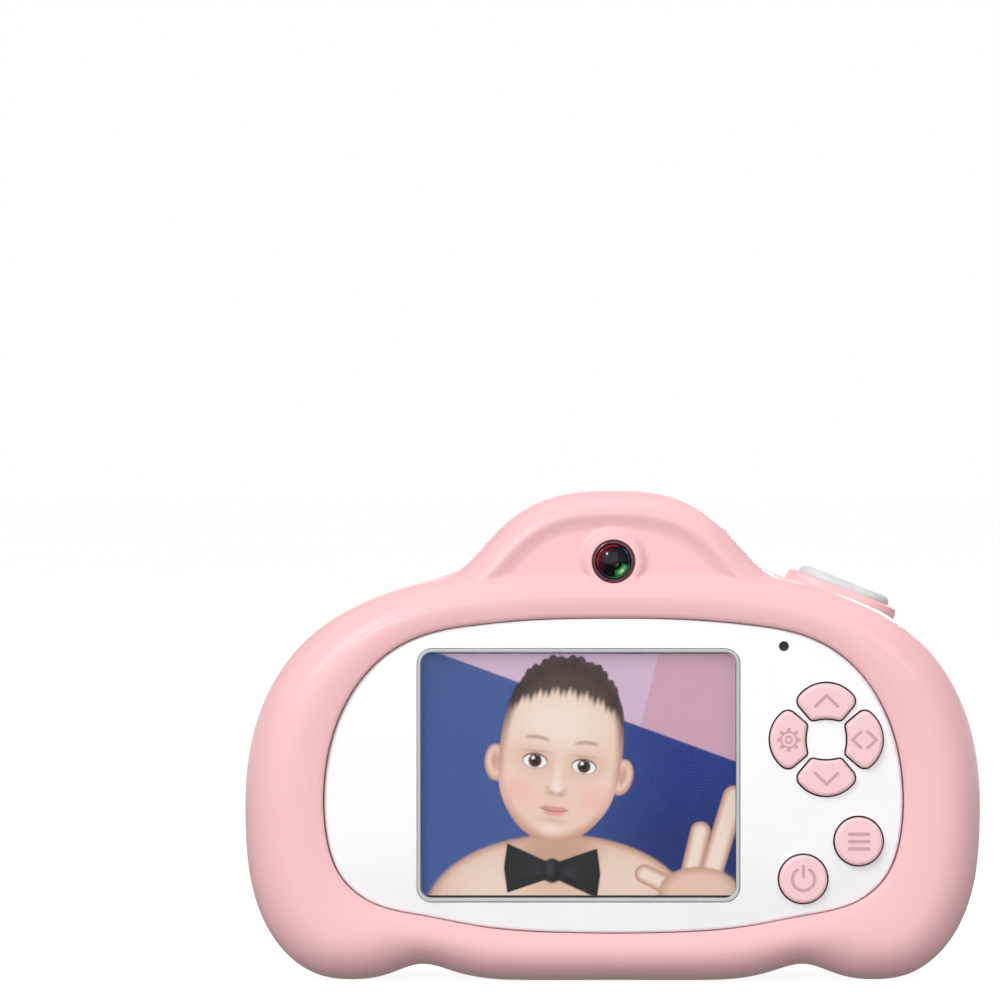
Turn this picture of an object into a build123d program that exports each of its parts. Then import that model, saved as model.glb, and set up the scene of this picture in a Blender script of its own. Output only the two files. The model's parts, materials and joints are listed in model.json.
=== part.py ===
from build123d import *

import os
from math import cos, hypot, radians, sin

# Kids digital camera: a hollow two-part toy casing with a lens dome, two drooping side lobes and a hump.
#
# Millimetres. +Z is up, the lens looks along -Y and the display faces +Y, with +X to the right seen from
# the lens side. The origin is the centre of the footprint, on the surface that the camera stands on.

os.makedirs("parts", exist_ok=True)

# ---------------------------------------------------------------- driving dimensions
WALL = 2.0
SEAM_Y = 11.6  # where the two shells meet
SIDE_FRONT_Y = 2.0  # the side wall runs straight from the seam to here
FACE_Y = -6.4  # crest of the front face beside the dome
SIDE_BACK_Y = 12.4
BACK_Y = 19.0  # crest of the rear frame
FRONT_Y = -19.0  # face of the lens trim ring
FRONT_ROLL = 7.5  # how far the front rounding reaches in from the outline
TOP_ROLL = 5.0  # and how much further it reaches along the top
BACK_ROLL = 5.0  # the same for the rear rounding
REAR_WALL_Y = 14.2  # inner face of the rear wall
PANEL_SEAT_Y = 16.4
PANEL_CROWN_Y = 18.6
CROWN_RADIUS = 900.0
LENS_Z = 24.5
LENS_FLOOR_Y = -16.6  # the floor that the lens rings stand on
HUMP_FRONT_Y = -2.2
HUMP_BACK_Y = 17.2
HUMP_FOOT_Z = 40.0
FIT = 0.1  # clearance of a fixed part in its seat
KEY_GAP = 0.22  # clearance of a key in its opening
KEY_FLANGE = 0.8  # how far a round key's flange reaches under the panel
PETAL_FLANGE = 0.35
KEY_TOP_Y = 19.0
BOARD_FRONT_Y, BOARD_BACK_Y = 9.4, 10.6

# Right half of the casing's outline without its hump, from the top centre to the flat of the belly.
BODY = [
    (0, 54.4), (9, 54.3), (17, 53.6), (22.5, 52.5), (27.5, 51.25), (33.5, 48.9), (40, 44.5),
    (45, 37.7), (47.5, 29.8), (48, 20.5), (46.6, 10.3), (42.5, 3.3), (38.4, 0.7), (34.6, 0.1),
    (29.6, 0.7), (25, 2.1), (20.6, 1.1), (16.2, 0.2), (12, 0),
]  # fmt: skip
# Right half of the hump, from its crown to the foot that sinks into the shoulder.
HUMP = [(0, 64), (6, 63.55), (11.2, 61.7), (15.1, 58.6), (18.2, 55.2), (20.6, 53.2), (24, 51.6)]
# Right half of the white panel's outline, from its top centre to its bottom centre.
PANEL = [
    (0, 47.4), (10, 47.2), (18, 46.5), (24, 45.4), (29, 43.0), (33.2, 38.8), (36.2, 32.8),
    (37.5, 26), (37.3, 19.6), (35.4, 14), (31.5, 10.6), (25, 8.9), (16, 7.3), (7, 6.7), (0, 6.6),
]  # fmt: skip
# Sections up a side lobe: height, inner edge, outer edge, and how far it stands forward of SIDE_FRONT_Y.
LOBE = [
    (0, 32.4, 36.9, 3.6), (0.5, 30.6, 38.0, 5.6), (1.8, 28.2, 40.1, 8.4), (4.3, 26.0, 42.8, 11.6),
    (8.3, 25.5, 45.3, 13.5), (12.6, 26.5, 46.8, 14.0), (16.9, 28.5, 47.4, 13.6), (22.1, 31.1, 47.5, 12.7),
    (26.4, 33.0, 47.3, 11.8), (31.1, 33.9, 46.6, 10.8), (35.1, 33.6, 45.4, 9.8), (40.6, 32.0, 42.4, 8.3),
    (44.9, 29.3, 38.6, 6.5), (47.5, 27.0, 34.6, 5.2), (49.6, 25.6, 30.2, 3.4),
]  # fmt: skip
# The dome round the lens as (radius, y), and the hollow behind it.
DOME_SKIN = [
    (12.2, -17.95), (13.2, -18), (15.5, -17.3), (17.6, -15.2), (18.9, -11.8), (19.7, -8.4), (20.8, -6.7),
]  # fmt: skip
DOME_HOLLOW = [(11.0, -14.6), (13.6, -14.2), (15.8, -12.4), (17.2, -9.6), (17.9, -6.0)]

# Positions are (x, z) seen from the lens side.
DPAD_X, DPAD_Z = -27.6, 31.7
KEY_POSITIONS = {
    "up": (DPAD_X, DPAD_Z + 4.9),
    "down": (DPAD_X, DPAD_Z - 4.9),
    "settings": (DPAD_X + 4.9, DPAD_Z),
    "flip": (DPAD_X - 4.9, DPAD_Z),
    "menu": (-31.8, 18.5),
    "power": (-24.6, 13.6),
}
DPAD_ANGLES = {"up": 0, "down": 180, "settings": -90, "flip": 90}
ROUND_KEY_RADIUS = 3.1
SELFIE_Z = 54.8
INDICATOR = (-22.1, 43.8)
WINDOW_X, WINDOW_Z = 4.55, 27.05
WINDOW_W, WINDOW_H = 41.9, 32.9
DISPLAY_X, DISPLAY_Z = 6.25, 26.8
DISPLAY_W, DISPLAY_H = 46.5, 35.0
PANEL_PEGS = [(-12, 46.2), (31.5, 14.0), (-12, 7.9)]
SHELL_SCREWS = [(33.5, 34.0), (33.5, 18.5), (-34.3, 24.4), (-19.9, 40.3)]
BOARD_SCREWS = [(24.5, 9.7), (-23.5, 9.5), (25.5, 40.8), (-33.4, 37.2)]
CAMERA_SCREWS = [(8.2, LENS_Z + 6.4), (-8.2, LENS_Z + 6.4), (8.2, LENS_Z - 6.4), (-8.2, LENS_Z - 6.4)]
MICROPHONE = (-17.8, 9.9)
SPEAKER = (24.8, 28.5)
SPEAKER_LENGTH, SPEAKER_WIDTH = 18.0, 11.0
SOUND_RING_RADIUS, SOUND_HOLE_RADIUS = 23.45, 0.8
SOUND_ANGLES = (28, 20, 12, 4, -4, -12, -20, -28)
OPEN_SOUND_HOLES = (20, 12, 4)
FLASH_END_X, FLASH_END_Z, FLASH_END_RADIUS = 6.8, 58.2, 3.1
FLASH_LAMP_Z = 57.9
USB_X = -7.2
CARD_X = 5.6
PORT_Y = 8.0
COVER_LENGTH, COVER_WIDTH = 24.4, 4.8
COVER_GAP = 0.2  # room for the cover's edge to swing
BUTTON_LENGTH, BUTTON_WIDTH = 12.6, 8.6
COLLAR_LENGTH, COLLAR_WIDTH = 15.1, 11.0
SHUTTER = Plane(origin=(-30.3, 4.6, 50.3), x_dir=(0.933, 0, 0.36), z_dir=(-0.36, 0, 0.933))


# ---------------------------------------------------------------- outlines
def inset(points, distance, flat_end=True):
    """The half outline moved inwards by distance(z) along each point's normal."""
    last = len(points) - 1
    moved = []
    for i, (x, z) in enumerate(points):
        run = points[min(i + 1, last)][0] - points[max(i - 1, 0)][0]
        rise = points[min(i + 1, last)][1] - points[max(i - 1, 0)][1]
        if i == 0 or (i == last and flat_end):
            rise = 0
        length = hypot(run, rise)
        moved.append((x + rise / length * distance(z), z - run / length * distance(z)))
    return moved


def front_plane(y):
    """The upright plane at y, with X across and Z up."""
    return Plane.XZ.offset(-y)


def body_layer(points, y):
    """The casing's outline: a smooth curve on each side and the belly's flat."""
    with BuildSketch(front_plane(y)) as layer:
        with BuildLine():
            Spline(*points, tangents=((1, 0), (-1, 0)))
            Line(points[-1], (0, points[-1][1]))
            mirror(about=Plane.YZ)
        make_face()
    return layer.sketch


def hump_layer(distance, y):
    points = inset(HUMP, lambda z: distance, flat_end=False)
    with BuildSketch(front_plane(y)) as layer:
        with BuildLine():
            Spline(*points, tangents=((1, 0), (2.2, -1)))
            Polyline(points[-1], (points[-1][0], HUMP_FOOT_Z), (0, HUMP_FOOT_Z))
            mirror(about=Plane.YZ)
        make_face()
    return layer.sketch


def panel_layer(grow, y):
    """The panel's outline at y, grown by grow(z)."""
    with BuildSketch(front_plane(y)) as layer:
        with BuildLine():
            Spline(*inset(PANEL, lambda z: -grow(z)), tangents=((1, 0), (-1, 0)))
            mirror(about=Plane.YZ)
        make_face()
    return layer.sketch


def roll_width(z):
    return FRONT_ROLL + TOP_ROLL * min(1.0, max(0.0, (z - 28) / 24))


def flange(name):
    return PETAL_FLANGE if name in DPAD_ANGLES else KEY_FLANGE


def petal_outline(grow):
    """The upper petal of the four-way pad about the pad's centre."""
    with BuildSketch() as petal:
        with BuildLine():
            ThreePointArc((-3.95, 4.9), (0, 7.3), (3.95, 4.9))
            Line((3.95, 4.9), (1.9, 2.45))
            ThreePointArc((1.9, 2.45), (0, 2.75), (-1.9, 2.45))
            Line((-1.9, 2.45), (-3.95, 4.9))
        make_face()
        fillet(petal.vertices().group_by(Axis.Y)[0], 0.6)
        fillet(petal.vertices().group_by(Axis.Y)[-1], 1.1)
        if grow:
            offset(amount=grow)
    return petal.sketch


def key_outline(name, grow, y):
    """A key's outline at y: round, or one petal of the four-way pad."""
    petal = petal_outline(grow)
    with BuildSketch(front_plane(y)) as layer:
        if name in DPAD_ANGLES:
            with Locations(Location((DPAD_X, DPAD_Z), DPAD_ANGLES[name])):
                add(petal)
        else:
            with Locations(KEY_POSITIONS[name]):
                Circle(ROUND_KEY_RADIUS + grow)
    return layer.sketch


# ---------------------------------------------------------------- solids shared by several parts
def pushed(sketch, depth):
    """The sketch given a depth towards +Y."""
    return extrude(sketch, amount=depth, dir=(0, 1, 0), mode=Mode.PRIVATE)


def disc(x, z, radius, y0, y1):
    with BuildPart() as part:
        with BuildSketch(front_plane(y0)):
            with Locations((x, z)):
                Circle(radius)
        extrude(amount=y1 - y0, dir=(0, 1, 0))
    return part.part


def slab(x, z, width, height, y0, y1, corner=0.0):
    """A plate parallel to the face, centred on (x, z)."""
    with BuildPart() as part:
        with BuildSketch(front_plane(y0)):
            with Locations((x, z)):
                if corner:
                    RectangleRounded(width, height, corner)
                else:
                    Rectangle(width, height)
        extrude(amount=y1 - y0, dir=(0, 1, 0))
    return part.part


def turned(profile, x=0.0, z=LENS_Z):
    """A ring or disc spun about the Y direction through (x, z), from its (radius, y) profile."""
    with BuildPart() as part:
        with BuildSketch(Plane((x, 0, z))):
            with BuildLine():
                Polyline(*profile, close=True)
            make_face()
        revolve(axis=Axis((x, 0, z), (0, 1, 0)))
    return part.part


def domed(radius, edge_y, crest_y, back_y, x=0.0, z=LENS_Z):
    """A round window with a bulging front and a flat back."""
    rise = abs(crest_y - edge_y)
    ball = (radius * radius + rise * rise) / (2 * rise)
    toward = 1 if back_y > crest_y else -1
    with BuildPart() as part:
        add(disc(x, z, radius, min(crest_y, back_y), max(crest_y, back_y)))
        with Locations((x, crest_y + toward * ball, z)):
            Sphere(ball, mode=Mode.INTERSECT)
    return part.part


def lead(points, radius):
    """A round wire along a smooth path."""
    with BuildPart() as part:
        with BuildLine() as path:
            Spline(*points)
        with BuildSketch(Plane(origin=path.line @ 0, z_dir=path.line % 0)):
            Circle(radius)
        sweep(path=path.line)
    return part.part


def ribbon(points, thickness, x0, x1):
    """A flat cable: a bent strip drawn as (y, z) and running from x0 to x1."""
    with BuildPart() as part:
        with BuildSketch(Plane.YZ.offset(x0)):
            with BuildLine():
                FilletPolyline(*points, radius=0.8)
            trace(line_width=thickness)
        extrude(amount=x1 - x0)
    return part.part


def screw(x, z, y, head_radius, head_height, shank_radius, shank_length):
    """A round-headed screw with a cross slot, its head seated at y and its shank towards the lens."""
    with BuildPart() as part:
        add(disc(x, z, head_radius, y, y + head_height))
        add(disc(x, z, shank_radius, y - shank_length, y))
        for width, height in ((head_radius * 1.1, 0.4), (0.4, head_radius * 1.1)):
            add(slab(x, z, width, height, y + head_height * 0.5, y + head_height + 1), mode=Mode.SUBTRACT)
    return part.part


# ---------------------------------------------------------------- casing
def lobe(side, wall):
    """A drooping side lobe: half ellipses stacked from the ground up."""
    faces = []
    for z, inner, outer, reach in LOBE:
        if z < 2 * wall or outer - inner <= 4 * wall or reach <= 2 * wall:
            continue
        middle, half = side * (inner + outer) / 2, (outer - inner) / 2 - wall
        with BuildSketch(Plane.XY.offset(z)) as section:
            with BuildLine():
                EllipticalCenterArc((middle, SIDE_FRONT_Y), half, reach - wall, start_angle=180, arc_size=180)
                Polyline(
                    (middle + half, SIDE_FRONT_Y),
                    (middle + half, SIDE_FRONT_Y + 3),
                    (middle - half, SIDE_FRONT_Y + 3),
                    (middle - half, SIDE_FRONT_Y),
                )
            make_face()
        faces.append(section.sketch.face())
    return loft(faces, mode=Mode.PRIVATE)


def hump(front_y, back_y, wall):
    """The hump between two planes, with its front or back edge rounded when it lies outside the seam."""
    toward_front = front_y < SEAM_Y
    edge_y = front_y if toward_front else back_y
    roll = (4.0 if toward_front else 4.5) - wall
    start_y = edge_y + roll if toward_front else edge_y - roll
    faces = []
    for angle in (0, 30, 60, 90):
        y = start_y + (edge_y - start_y) * sin(radians(angle))
        faces.append(hump_layer(wall + roll * (1 - cos(radians(angle))), y).face())
    with BuildPart() as part:
        loft(faces)
        add(pushed(hump_layer(wall, min(start_y, SEAM_Y)), abs(SEAM_Y - start_y)))
    return part.part


def front_volume(wall):
    """Everything in front of the seam, drawn in by the wall."""
    rise = SIDE_FRONT_Y - FACE_Y - wall
    layers = []
    for angle in (0, 20, 40, 60, 90):
        reach = 1 - cos(radians(angle))
        points = inset(BODY, lambda z: wall + (roll_width(z) - wall) * reach)
        layers.append(body_layer(points, SIDE_FRONT_Y - rise * sin(radians(angle))).face())
    skin = DOME_HOLLOW if wall else DOME_SKIN
    with BuildPart() as volume:
        add(pushed(body_layer(inset(BODY, lambda z: wall), SIDE_FRONT_Y), SEAM_Y - SIDE_FRONT_Y))
        loft(layers)
        add(hump(HUMP_FRONT_Y + wall, SEAM_Y, wall))
        for side in (-1, 1):
            add(lobe(side, wall))
        with BuildSketch(Plane((0, 0, LENS_Z))):
            with BuildLine():
                Spline(*skin)
                Polyline(skin[-1], (skin[-1][0], 1), (0, 1), (0, skin[0][1]), skin[0])
            make_face()
        revolve(axis=Axis((0, 0, LENS_Z), (0, 1, 0)))
    return volume.part


def shutter_oval(length, width, low, high):
    """An oval boss or hole square to the shutter button's tilted seat."""
    with BuildPart() as part:
        with BuildSketch(SHUTTER.offset(low)):
            SlotOverall(length, width)
        extrude(amount=high - low)
    return part.part


def shutter_pin(radius, low, high):
    with BuildPart() as part:
        with BuildSketch(SHUTTER.offset(low)):
            Circle(radius)
        extrude(amount=high - low)
    return part.part


def shutter_block(length, width, low, high, across=0.0):
    with BuildPart() as part:
        with BuildSketch(SHUTTER.offset(low)):
            with Locations((0, across)):
                Rectangle(length, width)
        extrude(amount=high - low)
    return part.part


def flash_outline(grow, y):
    """The bone-shaped flash window: two round ends joined by a low bar."""
    with BuildSketch(front_plane(y)) as layer:
        with Locations((-FLASH_END_X, FLASH_END_Z), (FLASH_END_X, FLASH_END_Z)):
            Circle(FLASH_END_RADIUS + grow)
        with Locations((0, 57.3)):
            Rectangle(2 * FLASH_END_X, 4.4 + 2 * grow)
    return layer.sketch


def belly_slot(length, width, z0, z1, x=0.0):
    """A round-ended slot in the belly, in line with the ports."""
    with BuildPart() as part:
        with BuildSketch(Plane.XY.offset(z0)):
            with Locations((x, PORT_Y)):
                SlotOverall(length, width)
        extrude(amount=z1 - z0)
    return part.part


with BuildPart() as front_hollow:
    add(front_volume(WALL))
    for px, pz in SHELL_SCREWS:
        add(disc(px, pz, 2.5, FRONT_Y, SEAM_Y), mode=Mode.SUBTRACT)
    for px, pz in BOARD_SCREWS:
        add(disc(px, pz, 2.0, FRONT_Y, BOARD_FRONT_Y), mode=Mode.SUBTRACT)
    for px, pz in CAMERA_SCREWS:
        add(disc(px, pz, 1.2, FRONT_Y, -4.0), mode=Mode.SUBTRACT)
    add(shutter_oval(COLLAR_LENGTH, COLLAR_WIDTH, -2.2, 1), mode=Mode.SUBTRACT)
    add(shutter_oval(14.4, 9.2, -4.4, -2.2))
    for offset_y in (-4.9, 4.9):
        add(shutter_block(7.0, 1.0, -7.4, 1, offset_y), mode=Mode.SUBTRACT)
    add(slab(0, 58.8, 23.4, 11.0, -1.0, 2.0), mode=Mode.SUBTRACT)

with BuildPart() as front_shell:
    add(front_volume(0))
    add(shutter_oval(COLLAR_LENGTH, COLLAR_WIDTH, -1, 0.75))
    add(front_hollow.part, mode=Mode.SUBTRACT)
    # seats for the lens rings, and the opening for the lens
    add(disc(0, LENS_Z, 12.2, FRONT_Y - 1, LENS_FLOOR_Y), mode=Mode.SUBTRACT)
    add(disc(0, LENS_Z, 7.5, FRONT_Y, -10), mode=Mode.SUBTRACT)
    # flash window and its lamp housing
    add(pushed(flash_outline(FIT, HUMP_FRONT_Y - 1), 3.2), mode=Mode.SUBTRACT)
    add(slab(0, 57.6, 21.4, 6.6, -0.2, 3), mode=Mode.SUBTRACT)
    # shutter button
    add(shutter_oval(BUTTON_LENGTH + 0.3, BUTTON_WIDTH + 0.3, -5, 3), mode=Mode.SUBTRACT)
    # pilot holes
    for px, pz in SHELL_SCREWS:
        add(disc(px, pz, 1.03, 4.6, SEAM_Y), mode=Mode.SUBTRACT)
    for px, pz in BOARD_SCREWS:
        add(disc(px, pz, 0.83, 4.2, BOARD_FRONT_Y), mode=Mode.SUBTRACT)
    for px, pz in CAMERA_SCREWS:
        add(disc(px, pz, 0.63, -8.2, -4.0), mode=Mode.SUBTRACT)
    # sound holes: three are open, the others are dimples
    for angle in SOUND_ANGLES:
        hx = SOUND_RING_RADIUS * cos(radians(angle))
        hz = LENS_Z + SOUND_RING_RADIUS * sin(radians(angle))
        bottom_y = -3.5 if angle in OPEN_SOUND_HOLES else FACE_Y + 0.7
        add(disc(hx, hz, SOUND_HOLE_RADIUS, -8, bottom_y), mode=Mode.SUBTRACT)
    add(disc(*MICROPHONE, SOUND_HOLE_RADIUS, -8, -3.5), mode=Mode.SUBTRACT)
    # ports under the belly, and the cover's recess
    add(belly_slot(COVER_LENGTH + 2 * COVER_GAP, COVER_WIDTH + 2 * COVER_GAP, -1, 1.55), mode=Mode.SUBTRACT)
    add(belly_slot(8.8, 3.8, -1, 2.5, USB_X), mode=Mode.SUBTRACT)
    add(belly_slot(12.6, 2.4, -1, 2.5, CARD_X), mode=Mode.SUBTRACT)

# lip that locates the front shell, left open under the hump and over the ports
with BuildPart() as lip:
    add(pushed(body_layer(inset(BODY, lambda z: WALL + 0.06), SEAM_Y - 1), 1.6))
    add(pushed(body_layer(inset(BODY, lambda z: WALL + 1.0), SEAM_Y - 1), 1.6), mode=Mode.SUBTRACT)
    add(slab(0, 50, 60, 12, 5, 15), mode=Mode.SUBTRACT)
    add(slab(0, 0, 30, 12, 5, 15), mode=Mode.SUBTRACT)

with BuildPart() as rear_shell:
    add(pushed(body_layer(BODY, SEAM_Y), SIDE_BACK_Y - SEAM_Y))
    back_layers = []
    for angle in (0, 25, 50, 70, 90):
        reach = BACK_ROLL * (1 - cos(radians(angle)))
        depth = SIDE_BACK_Y + (BACK_Y - SIDE_BACK_Y) * sin(radians(angle))
        back_layers.append(body_layer(inset(BODY, lambda z: reach), depth).face())
    loft(back_layers)
    add(hump(SEAM_Y, HUMP_BACK_Y, 0))
    # collar round the small lens on the back
    with BuildSketch(Plane((0, 0, SELFIE_Z))):
        with BuildLine():
            Spline((2.9, 17.9), (3.5, 18.0), (4.1, 17.7), (4.9, 17.1))
            Polyline((4.9, 17.1), (4.9, 16), (2.9, 16), (2.9, 17.9))
        make_face()
    revolve(axis=Axis((0, 0, SELFIE_Z), (0, 1, 0)))
    # hollow
    body_hollow = body_layer(inset(BODY, lambda z: WALL + 0.2), SEAM_Y - 1)
    add(pushed(body_hollow, REAR_WALL_Y - SEAM_Y + 1), mode=Mode.SUBTRACT)
    add(pushed(hump_layer(WALL, SEAM_Y - 1), 16.2 - SEAM_Y), mode=Mode.SUBTRACT)
    add(lip.part)
    # mounting frame of the small camera and posts for the screws
    add(slab(0, SELFIE_Z, 9.4, 9.4, 12.0, 16.0))
    add(slab(0, SELFIE_Z, 7.3, 7.3, 11.0, 15.2), mode=Mode.SUBTRACT)
    for px, pz in SHELL_SCREWS:
        add(disc(px, pz, 2.5, SEAM_Y, 15.0))
    # panel recess with its soft shoulder
    add(pushed(panel_layer(lambda z: FIT, PANEL_SEAT_Y), 4), mode=Mode.SUBTRACT)
    shoulder = []
    for y, near, far in ((17.6, 0.1, 0.1), (18.3, 0.4, 0.9), (18.8, 0.9, 2.2), (19.05, 1.6, 3.8)):
        spread = far - near
        shoulder.append(panel_layer(lambda z: near + spread * max(0, 1 - ((z - 27) / 17) ** 2), y).face())
    loft(shoulder, mode=Mode.SUBTRACT)
    # openings behind the panel
    add(slab(DISPLAY_X, DISPLAY_Z, DISPLAY_W + 0.4, DISPLAY_H + 0.4, 13, 18), mode=Mode.SUBTRACT)
    add(disc(0, SELFIE_Z, 2.85, 15, 19), mode=Mode.SUBTRACT)
    add(disc(*INDICATOR, 0.75, 13, 18), mode=Mode.SUBTRACT)
    for name in KEY_POSITIONS:
        add(pushed(key_outline(name, flange(name) + KEY_GAP, 14.8), 3), mode=Mode.SUBTRACT)
        add(disc(*KEY_POSITIONS[name], 1.7, 13, 16), mode=Mode.SUBTRACT)
    for px, pz in SHELL_SCREWS:
        add(disc(px, pz, 2.0, 15.0, 18), mode=Mode.SUBTRACT)
        add(disc(px, pz, 1.1, 11, 16), mode=Mode.SUBTRACT)
    for px, pz in PANEL_PEGS:
        add(disc(px, pz, 0.95, 15, 18), mode=Mode.SUBTRACT)


# ---------------------------------------------------------------- lens side
with BuildPart() as lens_trim_ring:
    add(turned([(9.55, FRONT_Y), (11.7, FRONT_Y), (12.1, -18.6), (12.1, LENS_FLOOR_Y), (9.55, LENS_FLOOR_Y)]))
with BuildPart() as lens_inner_bezel:
    add(turned([(7.5, -17.0), (9.1, -18.2), (9.45, -18.2), (9.45, LENS_FLOOR_Y), (7.5, LENS_FLOOR_Y)]))
with BuildPart() as lens_bezel:
    add(turned([(6.6, -17.6), (7.4, -17.2), (7.4, -13.4), (5.4, -13.4), (5.4, -15.6), (6.6, -15.6)]))
    add(turned([(7.4, -14.5), (8.6, -14.5), (8.6, -13.4), (7.4, -13.4)]))
with BuildPart() as lens_cover_glass:
    add(domed(6.5, -17.0, -18.2, -15.6))
with BuildPart() as camera_lens_holder:
    add(slab(0, LENS_Z, 13, 13, -9.5, -4.0, 1.5))
    add(disc(0, LENS_Z, 5.6, -11.5, -9.5))
    add(disc(0, LENS_Z, 4.3, -11.6, -5.6), mode=Mode.SUBTRACT)
    add(slab(0, LENS_Z, 9.0, 9.0, -5.6, -3.9), mode=Mode.SUBTRACT)
with BuildPart() as camera_lens_barrel:
    add(turned([(3.2, -14.6), (4.25, -14.6), (4.25, -6.0), (2.6, -6.0), (2.6, -13.2), (3.2, -13.8)]))
    add(domed(2.55, -12.6, -13.4, -11.4))
    add(turned([(0, -12), (2.65, -12), (2.65, -11), (0, -11)]))
with BuildPart() as camera_sensor:
    add(slab(0, LENS_Z, 8.0, 8.0, -5.2, -4.0))
with BuildPart() as camera_board:
    add(slab(0, LENS_Z, 20.0, 16.4, -4.0, -3.0, 1.0))
    for px, pz in CAMERA_SCREWS:
        add(disc(px, pz, 0.75, -5, -2), mode=Mode.SUBTRACT)
with BuildPart() as camera_screws:
    for px, pz in CAMERA_SCREWS:
        add(screw(px, pz, -3.0, 1.2, 0.8, 0.6, 5.0))
with BuildPart() as camera_flex:
    add(ribbon([(-2.92, 19.5), (-2.92, 14.6), (0.5, 12.6), (8.0, 12.6)], 0.15, -6.6, -2.2))

# ---------------------------------------------------------------- flash lamp in the hump
with BuildPart() as flash_window:
    add(pushed(flash_outline(0, HUMP_FRONT_Y - 0.3), 2.1))
    add(slab(0, FLASH_LAMP_Z, 15.0, 2.6, HUMP_FRONT_Y + 0.9, 1), mode=Mode.SUBTRACT)
with BuildPart() as flash_reflector:
    add(slab(0, 57.6, 21.2, 6.4, -0.2, 1.9))
    add(slab(0, FLASH_LAMP_Z, 15.0, 3.6, -1, 1.1), mode=Mode.SUBTRACT)
    add(slab(0, FLASH_LAMP_Z, 3.7, 3.0, 0.5, 3), mode=Mode.SUBTRACT)
with BuildPart() as flash_led:
    add(slab(0, FLASH_LAMP_Z, 3.5, 2.8, 0.9, 2.0, 0.3))
with BuildPart() as flash_board:
    add(slab(0, 56.9, 21.0, 4.8, 2.0, 2.8, 0.6))
with BuildPart() as flash_leads:
    add(lead([(6.0, 3.2, 54.6), (6.0, 6.4, 51.0), (6.0, 10.6, 47.6), (6.0, 11.05, 44.4)], 0.4))
    add(lead([(7.2, 3.2, 54.6), (7.2, 6.4, 51.0), (7.2, 10.6, 47.6), (7.2, 11.05, 44.4)], 0.4))

# ---------------------------------------------------------------- display side
with BuildPart() as rear_panel:
    add(pushed(panel_layer(lambda z: 0, PANEL_SEAT_Y), 3))
    with Locations((0, PANEL_CROWN_Y - CROWN_RADIUS, WINDOW_Z)):
        Sphere(CROWN_RADIUS, mode=Mode.INTERSECT)
    fillet(rear_panel.faces().sort_by(Axis.Y)[-1].edges(), 0.4)
    add(slab(WINDOW_X, WINDOW_Z, WINDOW_W + 0.1, WINDOW_H + 0.1, 15, 20, 2.0), mode=Mode.SUBTRACT)
    add(slab(WINDOW_X, WINDOW_Z, 44.4, 35.2, 15, 17.15, 2.5), mode=Mode.SUBTRACT)
    for name in KEY_POSITIONS:
        add(pushed(key_outline(name, KEY_GAP, 15), 5), mode=Mode.SUBTRACT)
    add(disc(*INDICATOR, 0.65, 15, 20), mode=Mode.SUBTRACT)
    for px, pz in PANEL_PEGS:
        add(disc(px, pz, 0.9, 15.1, PANEL_SEAT_Y + 0.5))
with BuildPart() as display_window:
    add(slab(WINDOW_X, WINDOW_Z, WINDOW_W, WINDOW_H, 17.0, 18.0, 1.95))
    add(slab(WINDOW_X, WINDOW_Z, 44.2, 35.0, 16.75, 17.1, 2.4))
with BuildPart() as display_gasket:
    add(slab(WINDOW_X, WINDOW_Z, 43.2, 34.4, 16.3, 16.75, 2.3))
    add(slab(WINDOW_X, WINDOW_Z, 41.3, 31.4, 16, 17), mode=Mode.SUBTRACT)
with BuildPart() as display_module:
    add(slab(DISPLAY_X, DISPLAY_Z, DISPLAY_W, DISPLAY_H, 14.1, 16.3, 0.6))
with BuildPart() as display_flex:
    add(ribbon([(13.95, 12.0), (13.95, 8.6), (12.4, 6.6), (11.0, 8.6), (11.0, 10.6)], 0.15, 1.0, 13.0))
with BuildPart() as indicator_lens:
    add(disc(*INDICATOR, 0.6, 11.5, 17.4))
    add(disc(*INDICATOR, 1.3, 12.9, 14.2))
with BuildPart() as indicator_led:
    add(slab(*INDICATOR, 1.6, 1.0, BOARD_BACK_Y, 11.4, 0.1))
with BuildPart() as selfie_bezel:
    bezel_profile = [(2.45, 17.9), (2.78, 17.7), (2.78, 15.2), (1.95, 15.2), (1.95, 16.9), (2.45, 16.9)]
    add(turned(bezel_profile, 0, SELFIE_Z))
with BuildPart() as selfie_glass:
    add(domed(2.4, 17.6, 18.1, 16.9, 0, SELFIE_Z))
with BuildPart() as selfie_camera:
    add(slab(0, SELFIE_Z, 7.2, 7.2, 12.0, 14.6, 0.4))
    add(disc(0, SELFIE_Z, 1.85, 14.6, 16.4))
with BuildPart() as selfie_flex:
    add(ribbon([(11.92, 56.0), (11.92, 50.0), (10.7, 48.6), (10.7, 43.6)], 0.15, -2.5, 2.5))


# ---------------------------------------------------------------- keys
def key(name):
    """A moulded key with a retaining flange and the pin that presses its switch."""
    x, z = KEY_POSITIONS[name]
    with BuildPart() as part:
        add(pushed(key_outline(name, 0, 15.4), KEY_TOP_Y - 15.4))
        fillet(part.faces().sort_by(Axis.Y)[-1].edges(), 0.5)
        add(pushed(key_outline(name, flange(name), 15.4), 0.85))
        add(disc(x, z, 1.4, 13.6, 15.4))
        add(disc(x, z, 0.9, 12.3, 13.6))
    return part.part


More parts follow.
